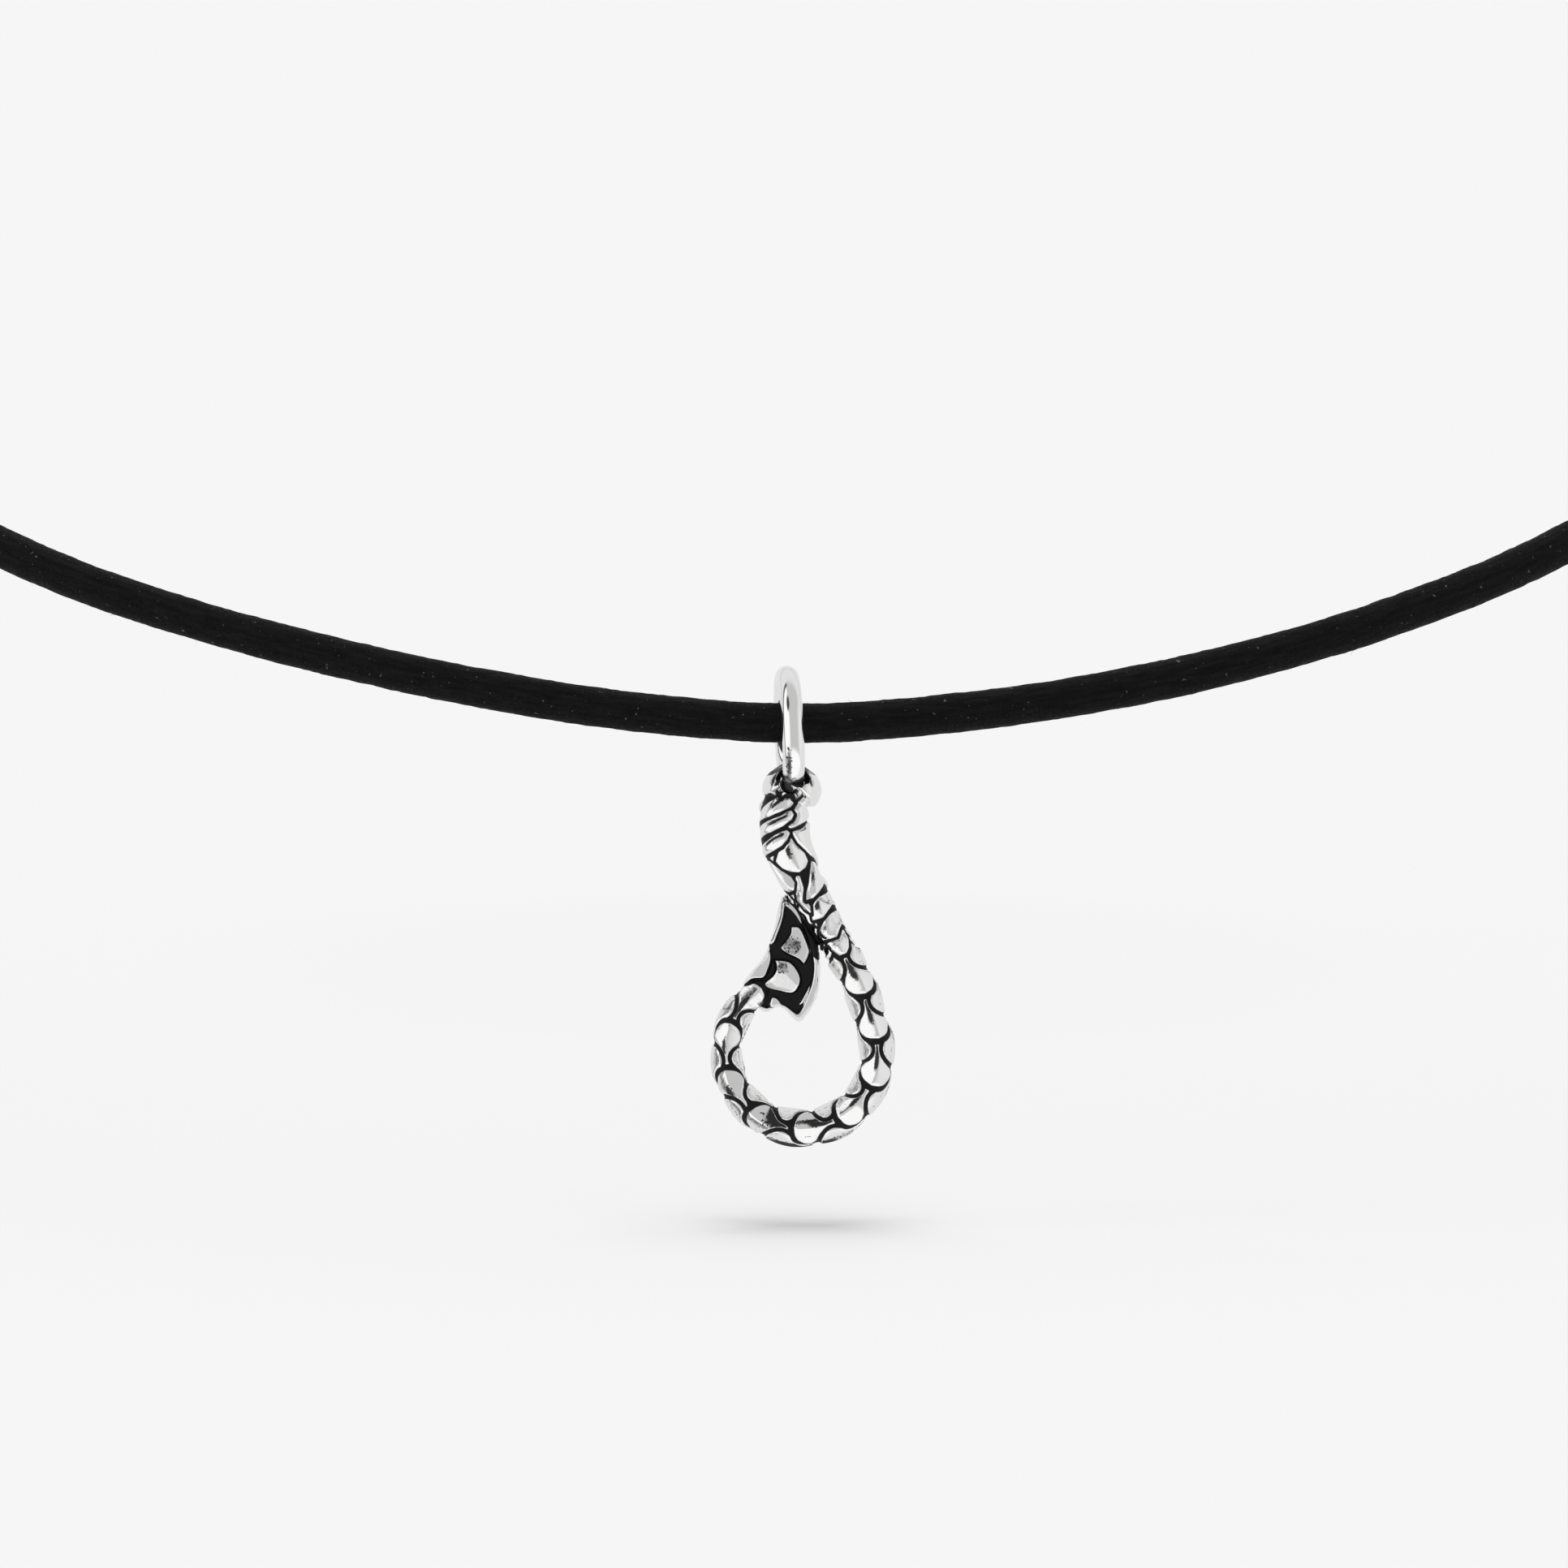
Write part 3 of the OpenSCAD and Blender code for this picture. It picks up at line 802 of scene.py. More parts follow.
streak = np.max([streak, upper_band, lower_line, beside_keel, outer_low], axis=0)
streak = np.maximum(streak * ease(edge_distance, 0.04, 0.16), CROWN_REFLECTION_DARK * crown_reflection)
place_vertices(hook, body_places + HANG)
on_bend = WIDER_GROOVE * ease(s, BEND_START, BEND_START + 2)
# The groove number: black oxide in the grooves, and the painted shade round the wire.
paint(hook, "groove", np.maximum(1 - ease(edge_distance - on_bend, -0.05, 0.115), recess_shade))
paint(hook, "keel", streak)
close_seam(hook)
with editing(hook):
    bpy.ops.mesh.vertices_smooth(factor=0.5, repeat=1)

# %% [markdown]
# The fluke
#
# The barb is a flat fluke: a raised rim round a sunken field, with four raised forms in it and a
# fifth across its rim. It is made as the body is, on a flat sheet: each vertex's distance from the
# drawn outlines gives its height. Vertices next to the outer edge are moved onto it, the faces
# beyond it are deleted, and the sheet is extruded and raised to both sides. The web fills the gap
# between the fluke and the shank, and the fused stretch, where both meet, is painted dark as shade.

# %% The fluke's outlines, right and up of the hook's origin
FLUKE_EDGE = [
    (-0.66, -6.72), (-0.1, -7.4), (0.5, -8.1), (1.12, -8.9), (1.55, -9.6), (1.72, -10.2), (1.8, -11.2),
    (1.77, -12.2), (1.6, -13.1), (1.27, -13.8), (0.85, -14.4), (0.45, -14.72), (0, -14.5),
    (-0.41, -14.0), (-0.92, -13.8), (-1.79, -14.1), (-2.9, -13.0), (-3.1, -12.3), (-2.62, -11.55),
    (-1.9, -10.7), (-1.42, -9.66), (-1.1, -8.6), (-0.92, -7.6),
]
FLUKE_FIELD = [
    (-0.46, -7.25), (0.1, -7.75), (0.58, -8.45), (0.85, -9.0), (1.2, -10.1), (1.36, -11.0),
    (1.31, -11.9), (1.1, -12.7), (0.7, -13.7), (0.35, -14.2), (-0.05, -13.98), (-0.55, -13.72),
    (-1.3, -13.85), (-2.4, -13.6), (-3.1, -12.5), (-2.55, -12.0), (-1.84, -11.93), (-1.52, -11.4),
    (-1.34, -10.65), (-1.5, -9.8), (-1.18, -9.74), (-0.92, -9.18), (-0.58, -8.2),
]
OUTER_SCALE = [
    (-1.46, -9.78), (-1.4, -10.65), (-1.56, -11.36), (-1.86, -11.84), (-2.52, -11.9), (-3.15, -12.25),
    (-2.7, -11.45), (-2.0, -10.65),
]
# Outline of the fused stretch, painted dark as shade.
FUSED_SHADE = [
    (-0.36, -7.1), (0.2, -7.62), (0.5, -8.15), (0.6, -8.6), (0.8, -9.0), (1.14, -10.1), (1.3, -10.6),
    (1.6, -10.85), (2.4, -10.4), (1.9, -8.6), (0.8, -6.6), (-0.3, -6.4),
]
LOZENGE = [
    (-0.1, -8.65), (0.41, -8.7), (0.72, -9.08), (1.12, -10.1), (1.12, -10.4), (0.76, -11.12),
    (0.41, -10.8), (-0.41, -10.4), (-0.77, -10.05), (-0.51, -9.69), (-0.15, -9.18),
]
LOWER_SCALE = [
    (-1.12, -10.76), (-0.51, -10.81), (0, -11.02), (0.46, -11.63), (0.56, -12.14), (0.41, -12.55),
    (0.05, -12.9), (-0.61, -12.8), (-1.53, -12.55), (-1.7, -12.25), (-1.22, -11.83), (-1.02, -11.32),
]
HALF_SCALE = [(-1.33, -13.06), (-0.92, -13.16), (-0.61, -13.57), (-0.51, -13.82), (-1.43, -13.77)]
SHARD = [(1.22, -11.98), (1.12, -12.65), (0.76, -13.46), (0.41, -13.67), (0.62, -13.2), (0.98, -12.5)]
WEB = [(-0.6, -6.9), (-0.2, -6.4), (0.8, -6.6), (1.8, -8.9), (1.9, -10), (1.2, -9.6), (0.5, -8.4)]
HALF_THICKNESS = 0.85
FIELD_HEIGHT = 0.45
RIM_ROUND = 0.28
WEB_ROUND = 0.2
RIDGE_START = (-1.0, -10.95)
RIDGE_WAY = (0.695, -0.72)

# %% Raise the fluke's front on a flat sheet
CELL = 0.055
SHEET_LOW = (-3.5, -15.0)
SHEET_SIZE = 9.0
PROBE = 0.02
cells = round(SHEET_SIZE / CELL)
fluke, share_right, share_up = flat_sheet("fluke", cells, cells)
right = SHEET_LOW[0] + share_right * SHEET_SIZE
up = SHEET_LOW[1] + share_up * SHEET_SIZE


def closed_smooth(outline, steps=4):
    """A closed outline with its corners eased."""
    ring = list(outline) + [outline[0]]
    return smooth_line(ring, steps)[:-1]


def union_inside(x, y, outlines):
    """Distance inside the nearest of several outlines."""
    return np.max([inside_outline(x, y, outline) for outline in outlines], axis=0)


fluke_outlines = [closed_smooth(FLUKE_EDGE), np.array(WEB)]
whole = union_inside(right, up, fluke_outlines)
for _ in range(3):
    edge_row = np.abs(whole) < 0.62 * CELL
    slope_x = union_inside(right[edge_row] + PROBE, up[edge_row], fluke_outlines) - whole[edge_row]
    slope_y = union_inside(right[edge_row], up[edge_row] + PROBE, fluke_outlines) - whole[edge_row]
    steep = np.maximum(np.hypot(slope_x, slope_y), 1e-6)
    right[edge_row] -= whole[edge_row] * slope_x / steep
    up[edge_row] -= whole[edge_row] * slope_y / steep
    whole = union_inside(right, up, fluke_outlines)

plate = inside_outline(right, up, fluke_outlines[0])
field = inside_outline(right, up, closed_smooth(FLUKE_FIELD))
web_height = FIELD_HEIGHT * round_over(whole, WEB_ROUND)
rim_height = HALF_THICKNESS * round_over(plate, RIM_ROUND)
rim = FIELD_HEIGHT + (rim_height - FIELD_HEIGHT) * ease(-field, -0.1, 0.06)
height = np.where(plate > 0, np.minimum(rim_height, np.maximum(rim, 0)), 0)
height = np.maximum(height, web_height)
groove = ease(field, -0.02, 0.1)
groove = np.where(plate < -0.08, 1.0, groove)
left_line = (right < -0.3) & (up > -9.9)
groove = np.where(left_line, np.maximum(groove, hump(-field - 0.17, 0.035)), groove)
keel = np.zeros(len(right))
# The forms in the field; the keel number on the lower scale and the lozenge is a painted dark reflection.
for outline, lift, crown_reflection in (
    (LOZENGE, 0.36, 0.04), (LOWER_SCALE, 0.4, 0.0), (HALF_SCALE, 0.26, 0.05), (SHARD, 0.28, 0.0),
    (OUTER_SCALE, 0.34, 0.12),
):
    form = inside_outline(right, up, closed_smooth(outline, 3))
    raised = FIELD_HEIGHT + lift * ease(form, -0.02, 0.13) + crown_reflection * np.clip(form / 0.5, 0, 1)
    if outline is LOWER_SCALE:
        aside = (right - RIDGE_START[0]) * RIDGE_WAY[1] - (up - RIDGE_START[1]) * RIDGE_WAY[0]
        raised += 0.16 - np.where(aside > 0, 0.42, 0.3) * np.abs(aside) * ease(form, 0, 0.15)
        raised = np.maximum(raised, FIELD_HEIGHT + 0.06)
        keel = np.where(form > 0.05, 0.74 * ease(-np.hypot(right + 0.6, up + 11.3), -0.65, -0.25), keel)
    if outline is LOZENGE:
        keel = np.where(form > 0.09, 0.7 * ease(-np.hypot(right + 0.05, up + 9.95), -1.0, -0.4), keel)
        raised -= 0.1 * ease(form, 0.1, 0.2)
    if outline is OUTER_SCALE:
        raised = np.minimum(raised, rim_height)
    height = np.where(form > -0.02, np.maximum(height, raised), height)
    groove = np.where(form > 0, np.minimum(groove, 1 - ease(form, 0.0, 0.08)), groove)
# Painted shade on the fused stretch, where the fluke meets the shank.
fused_shade = inside_outline(right, up, FUSED_SHADE)
groove = np.maximum(groove, ease(fused_shade, -0.03, 0.05))
height = np.maximum(np.where(whole < 0.03 * CELL, 0, height), 0.03)
flat_places = vertex_places(fluke)
flat_places[:, 0] = right
flat_places[:, 1] = up
place_vertices(fluke, flat_places)
paint(fluke, "height", height)
paint(fluke, "groove", groove)
paint(fluke, "keel", keel)

# %% Cut the fluke out and give it its back
inside = np.zeros((cells + 1, cells + 1), bool)
inside[np.rint(share_right * cells).astype(int), np.rint(share_up * cells).astype(int)] = whole > -0.3 * CELL
kept = inside[:-1, :-1] & inside[1:, :-1] & inside[:-1, 1:] & inside[1:, 1:]
for _ in range(8):
    low, high = kept[:-1, :-1] & kept[1:, 1:], kept[1:, :-1] & kept[:-1, 1:]
    pinched = (low & ~kept[1:, :-1] & ~kept[:-1, 1:]) | (high & ~kept[:-1, :-1] & ~kept[1:, 1:])
    kept[:-1, :-1] &= ~pinched
    kept[1:, :-1] &= ~pinched
corners = np.array([face.vertices[:] for face in fluke.data.polygons])
column = (share_right[corners].mean(axis=1) * cells).astype(int)
line = (share_up[corners].mean(axis=1) * cells).astype(int)
pick_faces(fluke, ~kept[column, line])
bpy.ops.mesh.delete(type="FACE")
bpy.ops.mesh.select_all(action="SELECT")
bpy.ops.mesh.extrude_region_move(TRANSFORM_OT_translate={"value": (0, 0, MM)})
bpy.ops.object.mode_set(mode="OBJECT")
flat_places = vertex_places(fluke)
depth = np.where(flat_places[:, 2] > 0.5, -1, 1) * painted_numbers(fluke, "height")
place_vertices(fluke, np.stack([flat_places[:, 0], depth, flat_places[:, 1]], -1) + HANG)
with editing(fluke):
    bpy.ops.mesh.normals_make_consistent(inside=False)
    bpy.ops.mesh.vertices_smooth(factor=0.5, repeat=1)
    bpy.ops.mesh.select_mode(type="VERT")
    bpy.ops.mesh.select_all(action="DESELECT")
EDGE_BAND = 0.16
by_edge = union_inside(flat_places[:, 0], flat_places[:, 1], fluke_outlines) < EDGE_BAND
fluke.data.vertices.foreach_set("select", by_edge)
bpy.ops.object.mode_set(mode="EDIT")
bpy.ops.mesh.vertices_smooth(factor=0.5, repeat=8)
bpy.ops.object.mode_set(mode="OBJECT")
bpy.ops.object.shade_smooth()
print("fluke:", count_triangles(fluke), "triangles")

# %% [markdown]
# One casting
#
# The body and the fluke are one piece of silver, so they are united into one skin, and the ring's
# way is cut through the eye: a tube a little thicker than the wire, in five positions, so that the
# hook can swing to both sides. Numbers painted on the vertices are carried over from the nearest
# vertex of the parts before they were united.

# %% Unite the hook and cut the ring's way
def keep_painted(pieces, names):
    """A tree that finds the vertex nearest to a place, and the numbers painted on all vertices."""
    vertices = [vertex for piece in pieces for vertex in piece.data.vertices]
    tree = KDTree(len(vertices))
    for number, vertex in enumerate(vertices):
        tree.insert(vertex.co, number)
    tree.balance()
    return tree, {name: np.concatenate([painted_numbers(piece, name) for piece in pieces]) for name in names}


def combine(piece, tool, how):
    """One boolean step, after which the tool is gone."""
    hold(piece)
    step = piece.modifiers.new(how, "BOOLEAN")
    step.operation = how
    step.solver = "MANIFOLD"
    step.object = tool
    bpy.ops.object.modifier_apply(modifier=step.name)
    bpy.data.objects.remove(tool)


painted_tree, painted = keep_painted([hook, fluke], ["groove", "keel"])
combine(hook, fluke, "UNION")
SWING = 30
SWING_AXIS = Vector((-0.087156, 0.996195, 0))
WAY_R = 0.72
SAME_PLACE = 0.03
# Vertices new to the cuts are painted dark: black oxide and painted shade in the hole, with painted dark
# patches from the keel number.
WALL_PAINT = {"groove": 0.5, "keel": 0.6}
for swing in np.radians(np.linspace(-SWING, SWING, 5)):
    way_cutter = ring_torus(WAY_R, 96, 32)
    swung = np.array(Matrix.Rotation(swing, 3, SWING_AXIS))
    place_vertices(way_cutter, (vertex_places(way_cutter) - HANG) @ swung.T + HANG)
    combine(hook, way_cutter, "DIFFERENCE")

found = [painted_tree.find(vertex.co)[1:] for vertex in hook.data.vertices]
nearest = np.array([number for number, _ in found])
kept_skin = np.array([distance for _, distance in found]) < SAME_PLACE * MM
for name, on_wall in WALL_PAINT.items():
    paint(hook, name, np.where(kept_skin, painted[name][nearest], on_wall))
hold(hook)
bpy.ops.object.shade_smooth()
edges = bmesh.new()
edges.from_mesh(hook.data)
print("open edges on the hook:", sum(1 for e in edges.edges if not e.is_manifold))
edges.free()
print("hook:", count_triangles(hook), "triangles")

# %% [markdown]
# The clasp
#
# At the nape the cord's two ends go into a plain silver barrel. The photograph hides it, so it is
# kept simple: a cylinder whose ends are inset and pushed in for the sockets, with eased rims and a
# turned line near each end.

# %% Barrel clasp
CLASP_D = 4.2
CLASP_LENGTH = 16.0
SOCKET_GAP = 0.1
SOCKET_DEPTH = 3.9
TURNED_LINE = 6.45
LINE_HALF = 0.25
RIM_BEVEL = 0.22
NAPE = 72.2
clasp_middle = np.array([0, NAPE * math.cos(LOOP_TILT), NAPE * math.sin(LOOP_TILT)])
let_go()
bpy.ops.mesh.primitive_cylinder_add(
    vertices=96, radius=CLASP_D / 2 * MM, depth=CLASP_LENGTH * MM, location=clasp_middle * MM,
    rotation=(0, math.radians(90), 0),
)
barrel = settle(bpy.context.object)
barrel.name = barrel.data.name = "clasp_barrel"
line_cuts = [side * TURNED_LINE + off for side in (-1, 1) for off in (-LINE_HALF, 0, LINE_HALF)]
cut_across(barrel, [cut * MM for cut in line_cuts], (1, 0, 0))
places = vertex_places(barrel)
from_axis = places - clasp_middle
in_line = np.abs(np.abs(from_axis[:, 0]) - TURNED_LINE) < 0.05
places[in_line, 1:] = clasp_middle[1:] + from_axis[in_line, 1:] * 0.93
place_vertices(barrel, places)


def end_caps(sense):
    """The round many-sided face at one end of the barrel."""
    end = (CLASP_LENGTH / 2 - 0.1) * MM
    return [sense * f.center.x > end and len(f.vertices) > 4 for f in barrel.data.polygons]


pick_faces(barrel, np.array(end_caps(1)) | np.array(end_caps(-1)))
socket_r = CORD_D / 2 + SOCKET_GAP
bpy.ops.mesh.inset(thickness=(CLASP_D / 2 - socket_r) * MM, use_individual=True)
for sense in (-1, 1):
    bpy.ops.object.mode_set(mode="OBJECT")
    pick_faces(barrel, end_caps(sense))
    bpy.ops.mesh.extrude_region_move(TRANSFORM_OT_translate={"value": (-sense * SOCKET_DEPTH * MM, 0, 0)})
bpy.ops.object.mode_set(mode="OBJECT")
rims = barrel.modifiers.new("rims", "BEVEL")
rims.width = RIM_BEVEL * MM
rims.segments = 4
rims.limit_method = "ANGLE"
rims.angle_limit = math.radians(50)
bpy.ops.object.modifier_apply(modifier=rims.name)
bpy.ops.object.shade_smooth_by_angle(angle=math.radians(35))
print("clasp:", count_triangles(barrel), "triangles")

# %% [markdown]
# Finishes
#
# Three finishes: blackened cast silver on the hook, polished silver on the ring and the clasp, and
# waxed black leather. Effects that more than one of them uses are node groups with named inputs:
# small pits and waves of a cast or worn metal surface, and ragged dark patches that paint shade and
# dark reflections. Shaders stay in the materials themselves.

# %% Helpers for node trees
def give(socket, given):
    """Gives a socket its number, its colour or another node's output."""
    if isinstance(given, bpy.types.NodeSocket):
        socket.id_data.links.new(given, socket)
    else:
        socket.default_value = given


def feed(node, **inputs):
    """Gives a node's inputs what they need; an underscore stands for a space in an input's name."""
    for label, given in inputs.items():
        give(node.inputs[label.replace("_", " ")], given)
    return node


def new_node(tree, kind, **inputs):
    """A node of one kind, fed with its inputs."""
    return feed(tree.nodes.new("ShaderNode" + kind), **inputs)


def new_group(name, inputs, outputs):
    """An empty node group with named inputs (name, default) and outputs."""
    group = bpy.data.node_groups.new(name, "ShaderNodeTree")
    for label, value in inputs:
        socket = group.interface.new_socket(label, in_out="INPUT", socket_type="NodeSocketFloat")
        socket.default_value = value
    for label in outputs:
        group.interface.new_socket(label, in_out="OUTPUT", socket_type="NodeSocketFloat")
    return group, group.nodes.new("NodeGroupInput").outputs, group.nodes.new("NodeGroupOutput")


def by_number(node, given):
    """Gives a node's first inputs what they need, in order, and returns its first output."""
    for socket, value in zip(node.inputs, given):
        give(socket, value)
    return node.outputs[0]


def math_node(operation, *given, clamp=False):
    """One Math node in its sockets' tree; its inputs are numbers or sockets."""
    tree = next(value.id_data for value in given if isinstance(value, bpy.types.NodeSocket))
    node = new_node(tree, "Math")
    node.operation = operation
    node.use_clamp = clamp
    return by_number(node, given)


def plus(first, second):
    """One value and another."""
    return math_node("ADD", first, second)


def minus(first, second, clamp=False):
    """One value less another."""
    return math_node("SUBTRACT", first, second, clamp=clamp)


def times(first, second):
    """One value times another."""
    return math_node("MULTIPLY", first, second)


def ramp(value, low, high, low_out=0.0, high_out=1.0):
    """A value mapped smoothly from one range to another."""
    node = new_node(value.id_data, "MapRange", Value=value, From_Min=low, From_Max=high)
    node.interpolation_type = "SMOOTHSTEP"
    return feed(node, To_Min=low_out, To_Max=high_out).outputs["Result"]


def noise(vector, scale, detail=2.0, roughness=0.5):
    """Noise over the piece; the scale is a number or a socket."""
    node = new_node(vector.id_data, "TexNoise", Vector=vector, Scale=scale)
    return feed(node, Detail=detail, Roughness=roughness).outputs["Fac"]


def mix_colour(share, first, second):
    """Two colours mixed by a share."""
    node = new_node(share.id_data, "Mix")
    node.data_type = "RGBA"
    feed(node, Factor=share)
    colours = [socket for socket in node.inputs if socket.type == "RGBA"]
    for socket, given in zip(colours, (first, second)):
        give(socket, given + (1,) if isinstance(given, tuple) else given)
    return next(socket for socket in node.outputs if socket.type == "RGBA")


# %% Group: pits and waves of cast silver
cast, cast_in, cast_out = new_group(
    "cast_surface", [("Pit Size", 9000.0), ("Wave Size", 1400.0)], ["Pits", "Waves"]
)
where = new_node(cast, "TexCoord").outputs["Object"]
pit_noise = noise(where, cast_in["Pit Size"], 3.0, 0.6)
wave_noise = noise(where, cast_in["Wave Size"])
feed(cast_out, Pits=ramp(pit_noise, 0.52, 0.68), Waves=wave_noise)

# %% Group: ragged dark patches, which paint shade and dark reflections
painted_dark_patches, painted_dark_in, painted_dark_out = new_group(
    "painted_dark_patches", [("Amount", 0.0), ("Pits", 0.0), ("Waves", 0.5), ("Most", 0.97)], ["Dark"]
)
uneven = plus(painted_dark_in["Pits"], painted_dark_in["Waves"])
uneven = plus(times(uneven, 0.7), 0.45)
ragged = ramp(times(painted_dark_in["Amount"], uneven), 0.42, 0.72)
feed(painted_dark_out, Dark=times(ragged, painted_dark_in["Most"]))


# %% Helpers for materials
def new_material(name):
    """A material, its node tree and its surface shader."""
    material = bpy.data.materials.new(name)
    material.use_nodes = True
    return material, material.node_tree, material.node_tree.nodes["Principled BSDF"]


def place_group(tree, group, **inputs):
    """A node group placed in a material and fed with its inputs."""
    node = new_node(tree, "Group")
    node.node_tree = group
    return feed(node, **inputs)


def painted_value(tree, name):
    """Reads one painted number."""
    node = new_node(tree, "Attribute")
    node.attribute_name = name
    return node.outputs["Fac"]


def silver_surface(tree, pit_size, wave_size, painted_dark):
    """Pits and waves of a silver surface, and ragged painted shade and dark reflections where a number is
    painted.
    """
    surface = place_group(tree, cast, Pit_Size=pit_size, Wave_Size=wave_size).outputs
    pits, waves = surface["Pits"], surface["Waves"]
    patches = place_group(tree, painted_dark_patches, Amount=painted_value(tree, painted_dark), Pits=pits, Waves=waves)
    return pits, waves, patches.outputs["Dark"]


def emboss(shader, height, strength, depth):
    """Fine relief on a shader, its depth in millimetres."""
    bump = new_node(height.id_data, "Bump", Height=height, Strength=strength, Distance=depth * MM)
    feed(shader, Normal=bump.outputs["Normal"])


# %% Blackened cast silver
CAST_SILVER = (0.9, 0.9, 0.895)
# Black for oxide in the grooves and for painted shade and dark reflections.
OXIDE_AND_SHADE_BLACK = (0.024, 0.024, 0.025)
oxidised, tree, shader = new_material("blackened cast silver")
# The keel number gives ragged painted dark reflections and shade; the groove number gives black oxide in the
# grooves and painted shade.
pits, waves, painted_dark_specks = silver_surface(tree, 7000.0, 1300.0, "keel")
ragged = times(minus(waves, 0.5), 0.5)
black = ramp(plus(painted_value(tree, "groove"), ragged), 0.25, 0.75)
dark = math_node("MAXIMUM", black, painted_dark_specks, clamp=True)
feed(
    shader, Base_Color=mix_colour(dark, CAST_SILVER, OXIDE_AND_SHADE_BLACK), Metallic=1.0,
    Roughness=ramp(dark, 0.0, 1.0, 0.13, 0.5),
)
emboss(shader, minus(waves, times(pits, 0.5)), 0.14, 0.03)

# %% Polished silver
POLISHED_SILVER = (0.92, 0.92, 0.915)
# Black for the ring's painted shade and painted dark reflection.
SHADE_AND_REFLECTION_BLACK = (0.02, 0.02, 0.02)
polished, tree, shader = new_material("polished silver")
_, waves, shade_and_reflection = silver_surface(tree, 5200.0, 700.0, "ring_shade_and_reflection")
clean = ramp(waves, 0.3, 0.7, 0.07, 0.14)
feed(
    shader, Base_Color=mix_colour(shade_and_reflection, POLISHED_SILVER, SHADE_AND_REFLECTION_BLACK),
    Metallic=ramp(shade_and_reflection, 0.0, 1.0, 1.0, 0.6),
    Roughness=plus(clean, times(shade_and_reflection, 0.4)),
)
emboss(shader, waves, 0.12, 0.03)

# %% Waxed black leather
LEATHER_DARK = (0.0022, 0.0022, 0.0022)
LEATHER_LIGHT = (0.0065, 0.0062, 0.006)
FLECK = (0.09, 0.088, 0.084)
LENGTHWISE = (220, 26, 1)
GRAIN = 5200.0
FLECK_SPREAD = 3600.0
leather, tree, shader = new_material("waxed black leather")
flat_map = new_node(tree, "UVMap")
flat_map.uv_map = cord.data.uv_layers[0].name
stretch = new_node(tree, "Mapping", Vector=flat_map.outputs["UV"], Scale=LENGTHWISE)
streaks = noise(stretch.outputs["Vector"], 1.0, 4.0, 0.6)
where = new_node(tree, "TexCoord").outputs["Object"]
grain = noise(where, GRAIN, 3.0, 0.6)
flecks = ramp(noise(where, FLECK_SPREAD), 0.7, 0.76)
tone = mix_colour(ramp(streaks, 0.35, 0.7), LEATHER_DARK, LEATHER_LIGHT)
feed(
    shader, Base_Color=mix_colour(flecks, tone, FLECK), Specular_IOR_Level=0.11,
    Roughness=ramp(grain, 0.3, 0.7, 0.55, 0.8),
)
emboss(shader, plus(grain, streaks), 0.5, 0.04)

# %% Give each piece its finish and its body
for piece, finish, slot_name, body, node in (
    (cord, leather, "black_leather", "necklace", "cord"),
    (barrel, polished, "polished_silver", "necklace", "clasp"),
    (bail, polished, "polished_silver", "ring", "bail_ring"),
    (hook, oxidised, "oxidised_silver", "pendant", "tail_hook"),
):
    piece.data.materials.clear()
    piece.data.materials.append(finish)
    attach(piece, body)
    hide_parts(node)
    for slot in frame["nodes"][node].material_slots:
        slot.material = finish
print("materials:", [m.name for m in (oxidised, polished, leather)])

# %% [markdown]
# Light and floor
#
# Silver shows its surroundings, so the light is a plain tent drawn in the world: white at the left
# and low in front, pale behind, and a grey wall in front that is lighter towards its right end, with
# a dark spot high at the left and a narrow dark strip standing at the far left. The camera itself
# sees only the backdrop's even tone. A broad sun overhead, kept out of the reflections, gives the
# soft shadow under the hook. The floor leans 7.6 degrees towards the camera, so that the shadow
# shows as the flat oval of the photograph.

# %% The tent
BACKDROP = 0.9216
WHITE = 1.06
GREY = 0.58
LIGHT_GREY = 0.86
DARK = 0.05
PALE = 0.8
STRIP_AZIMUTH = math.radians(-101)
world = bpy.data.worlds.new("tent")
bpy.context.scene.world = world
world.use_nodes = True
tree = world.node_tree
tree.nodes.clear()
towards = new_node(tree, "TexCoord").outputs["Generated"]
side_ways, front_ways, up_ways = new_node(tree, "SeparateXYZ", Vector=towards).outputs


def lined_up(direction):
    """How well the way of a ray and a direction agree: 1 along it, 0 across it."""
    node = new_node(tree, "VectorMath")
    node.operation = "DOT_PRODUCT"
    by_number(node, (towards, direction))
    return node.outputs["Value"]


def spot(azimuth, elevation, inner, outer):
    """Share of a round spot in the tent; azimuth 0 is where the camera stands, and right is positive."""
    a, e = math.radians(azimuth), math.radians(elevation)
    agrees = lined_up((math.sin(a) * math.cos(e), -math.cos(a) * math.cos(e), math.sin(e)))
    return ramp(agrees, math.cos(math.radians(outer)), math.cos(math.radians(inner)))


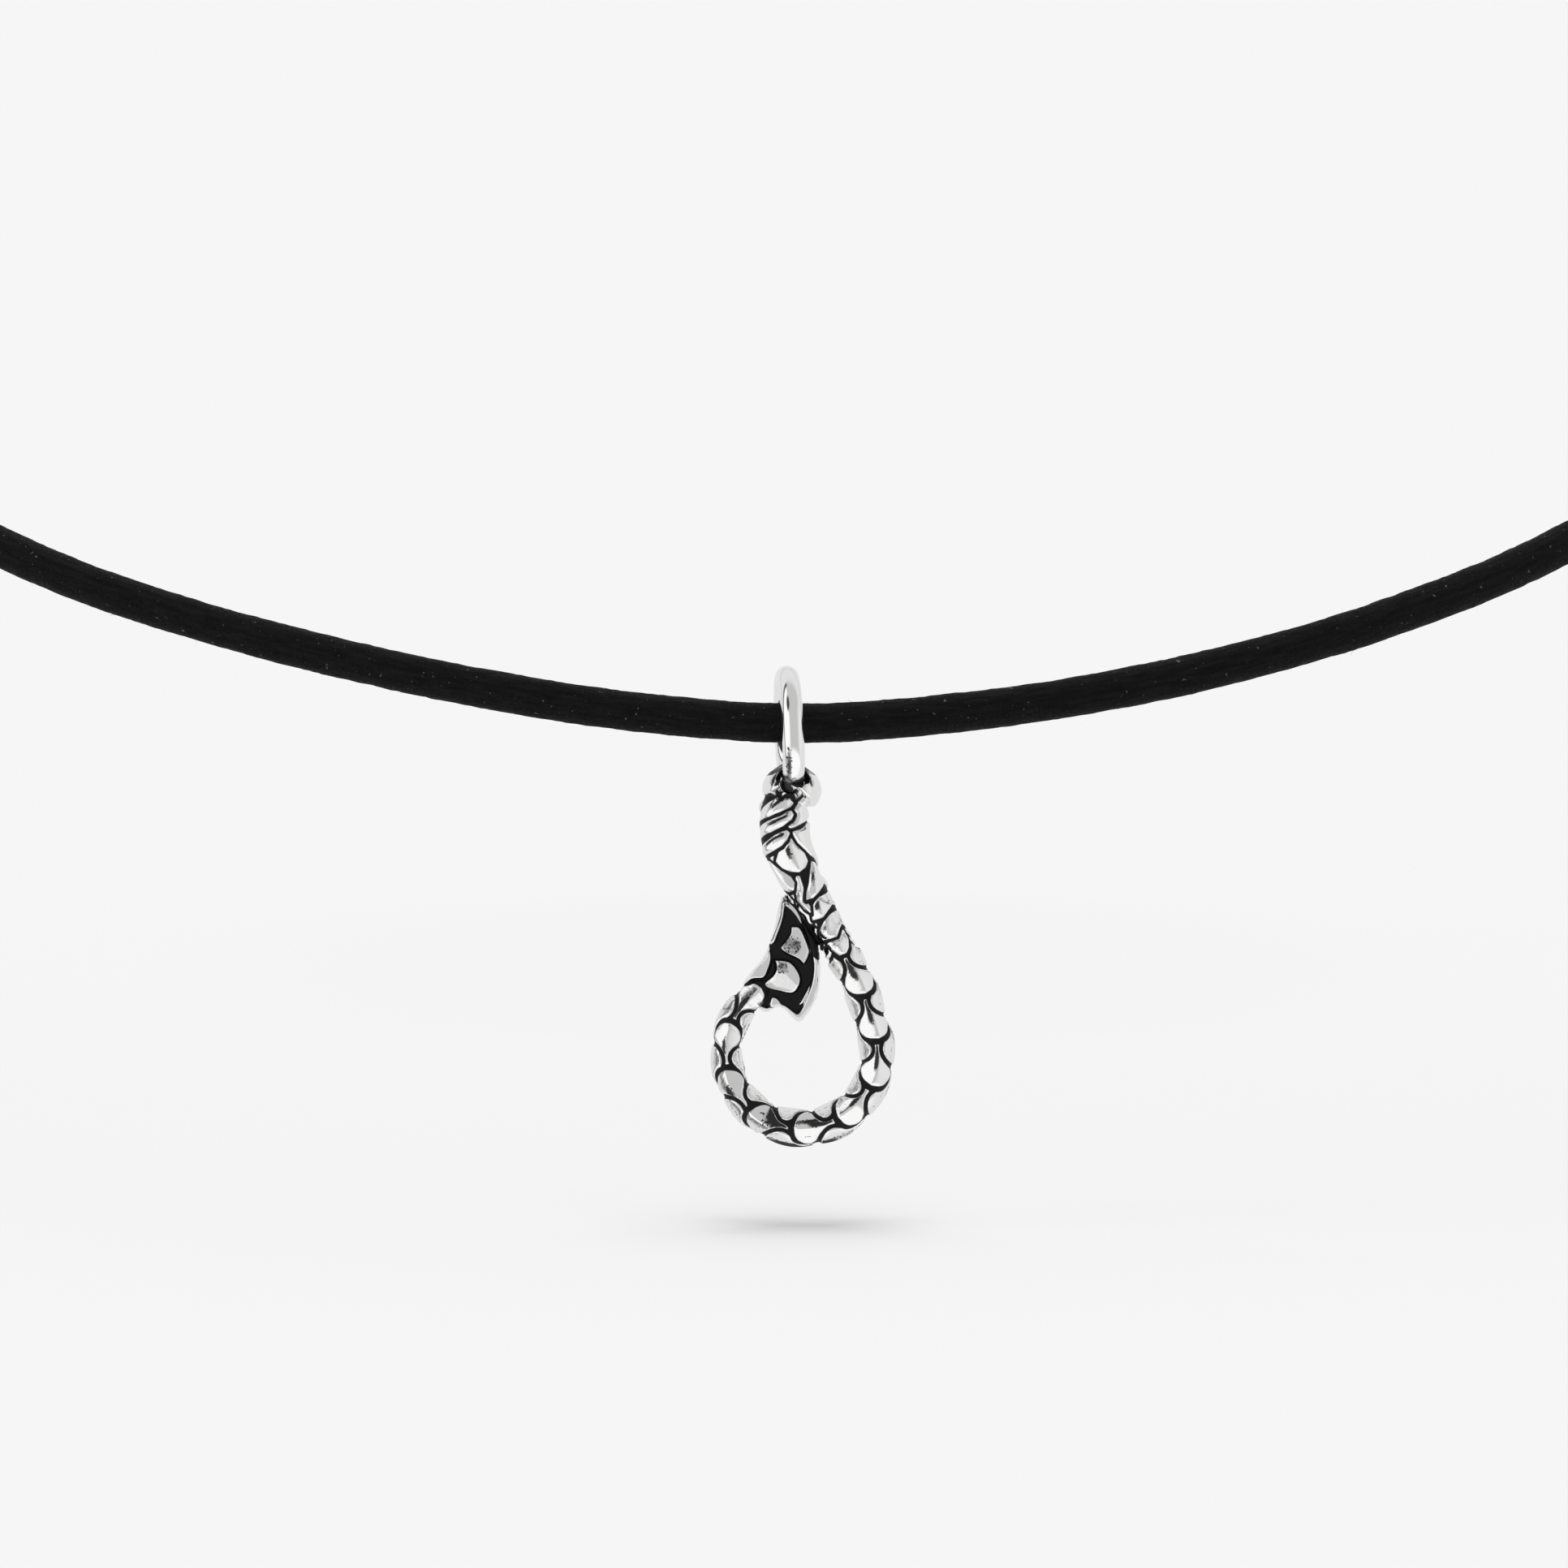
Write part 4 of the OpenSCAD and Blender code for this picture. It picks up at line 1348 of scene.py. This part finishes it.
right_of_white = ramp(side_ways, -0.6, -0.45)
in_front = ramp(front_ways, -0.1, 0.35, 1.0, 0.0)
not_low = ramp(up_ways, -0.62, -0.45)
grey_wall = times(times(right_of_white, in_front), not_low)
off_strip = math_node("ABSOLUTE", lined_up((math.cos(STRIP_AZIMUTH), math.sin(STRIP_AZIMUTH), 0)))
strip = times(ramp(off_strip, 0.05, 0.1, 0.9, 0.0), ramp(side_ways, -0.5, -0.3, 1.0, 0.0))
dark_part = math_node("MAXIMUM", spot(-50, 42, 8, 17), strip)
behind = ramp(front_ways, -0.1, 0.35)
open_front = minus(minus(1.0, behind), grey_wall, clamp=True)
wall_tone = ramp(side_ways, 0.7, 0.98, GREY, LIGHT_GREY)
tone = plus(plus(times(behind, PALE), times(grey_wall, wall_tone)), times(open_front, WHITE))
tone = plus(times(tone, minus(1.0, dark_part)), times(dark_part, DARK))
tent = new_node(tree, "Background", Strength=tone, Color=(1, 1, 1, 1))
seen = new_node(tree, "Background", Color=(BACKDROP, BACKDROP, BACKDROP, 1))
by_camera = new_node(tree, "LightPath").outputs["Is Camera Ray"]
shown = by_number(new_node(tree, "MixShader"), (by_camera, tent.outputs[0], seen.outputs[0]))
new_node(tree, "OutputWorld", Surface=shown)

# %% Sun and floor
sun = bpy.data.objects.new("overhead_sun", bpy.data.lights.new("overhead_sun", "SUN"))
bpy.context.scene.collection.objects.link(sun)
sun.data.energy = 2.5
sun.data.angle = math.radians(40)
sun.visible_glossy = False
cord.visible_shadow = False

FLOOR_LEAN = math.radians(7.6)
FLOOR_UP = -72.0
FLOOR_TONE = 0.63
let_go()
bpy.ops.mesh.primitive_plane_add(size=3, location=(0, 0, 0))
floor = settle(bpy.context.object)
floor.name = "floor"
floor.visible_glossy = False
places = vertex_places(floor)
places[:, 2] = FLOOR_UP + (places[:, 1] - HANG[1]) * math.tan(FLOOR_LEAN)
place_vertices(floor, places)
paper, _, shader = new_material("floor_paper")
feed(shader, Base_Color=(FLOOR_TONE, FLOOR_TONE, FLOOR_TONE, 1), Roughness=1.0, Specular_IOR_Level=0.0)
floor.data.materials.append(paper)
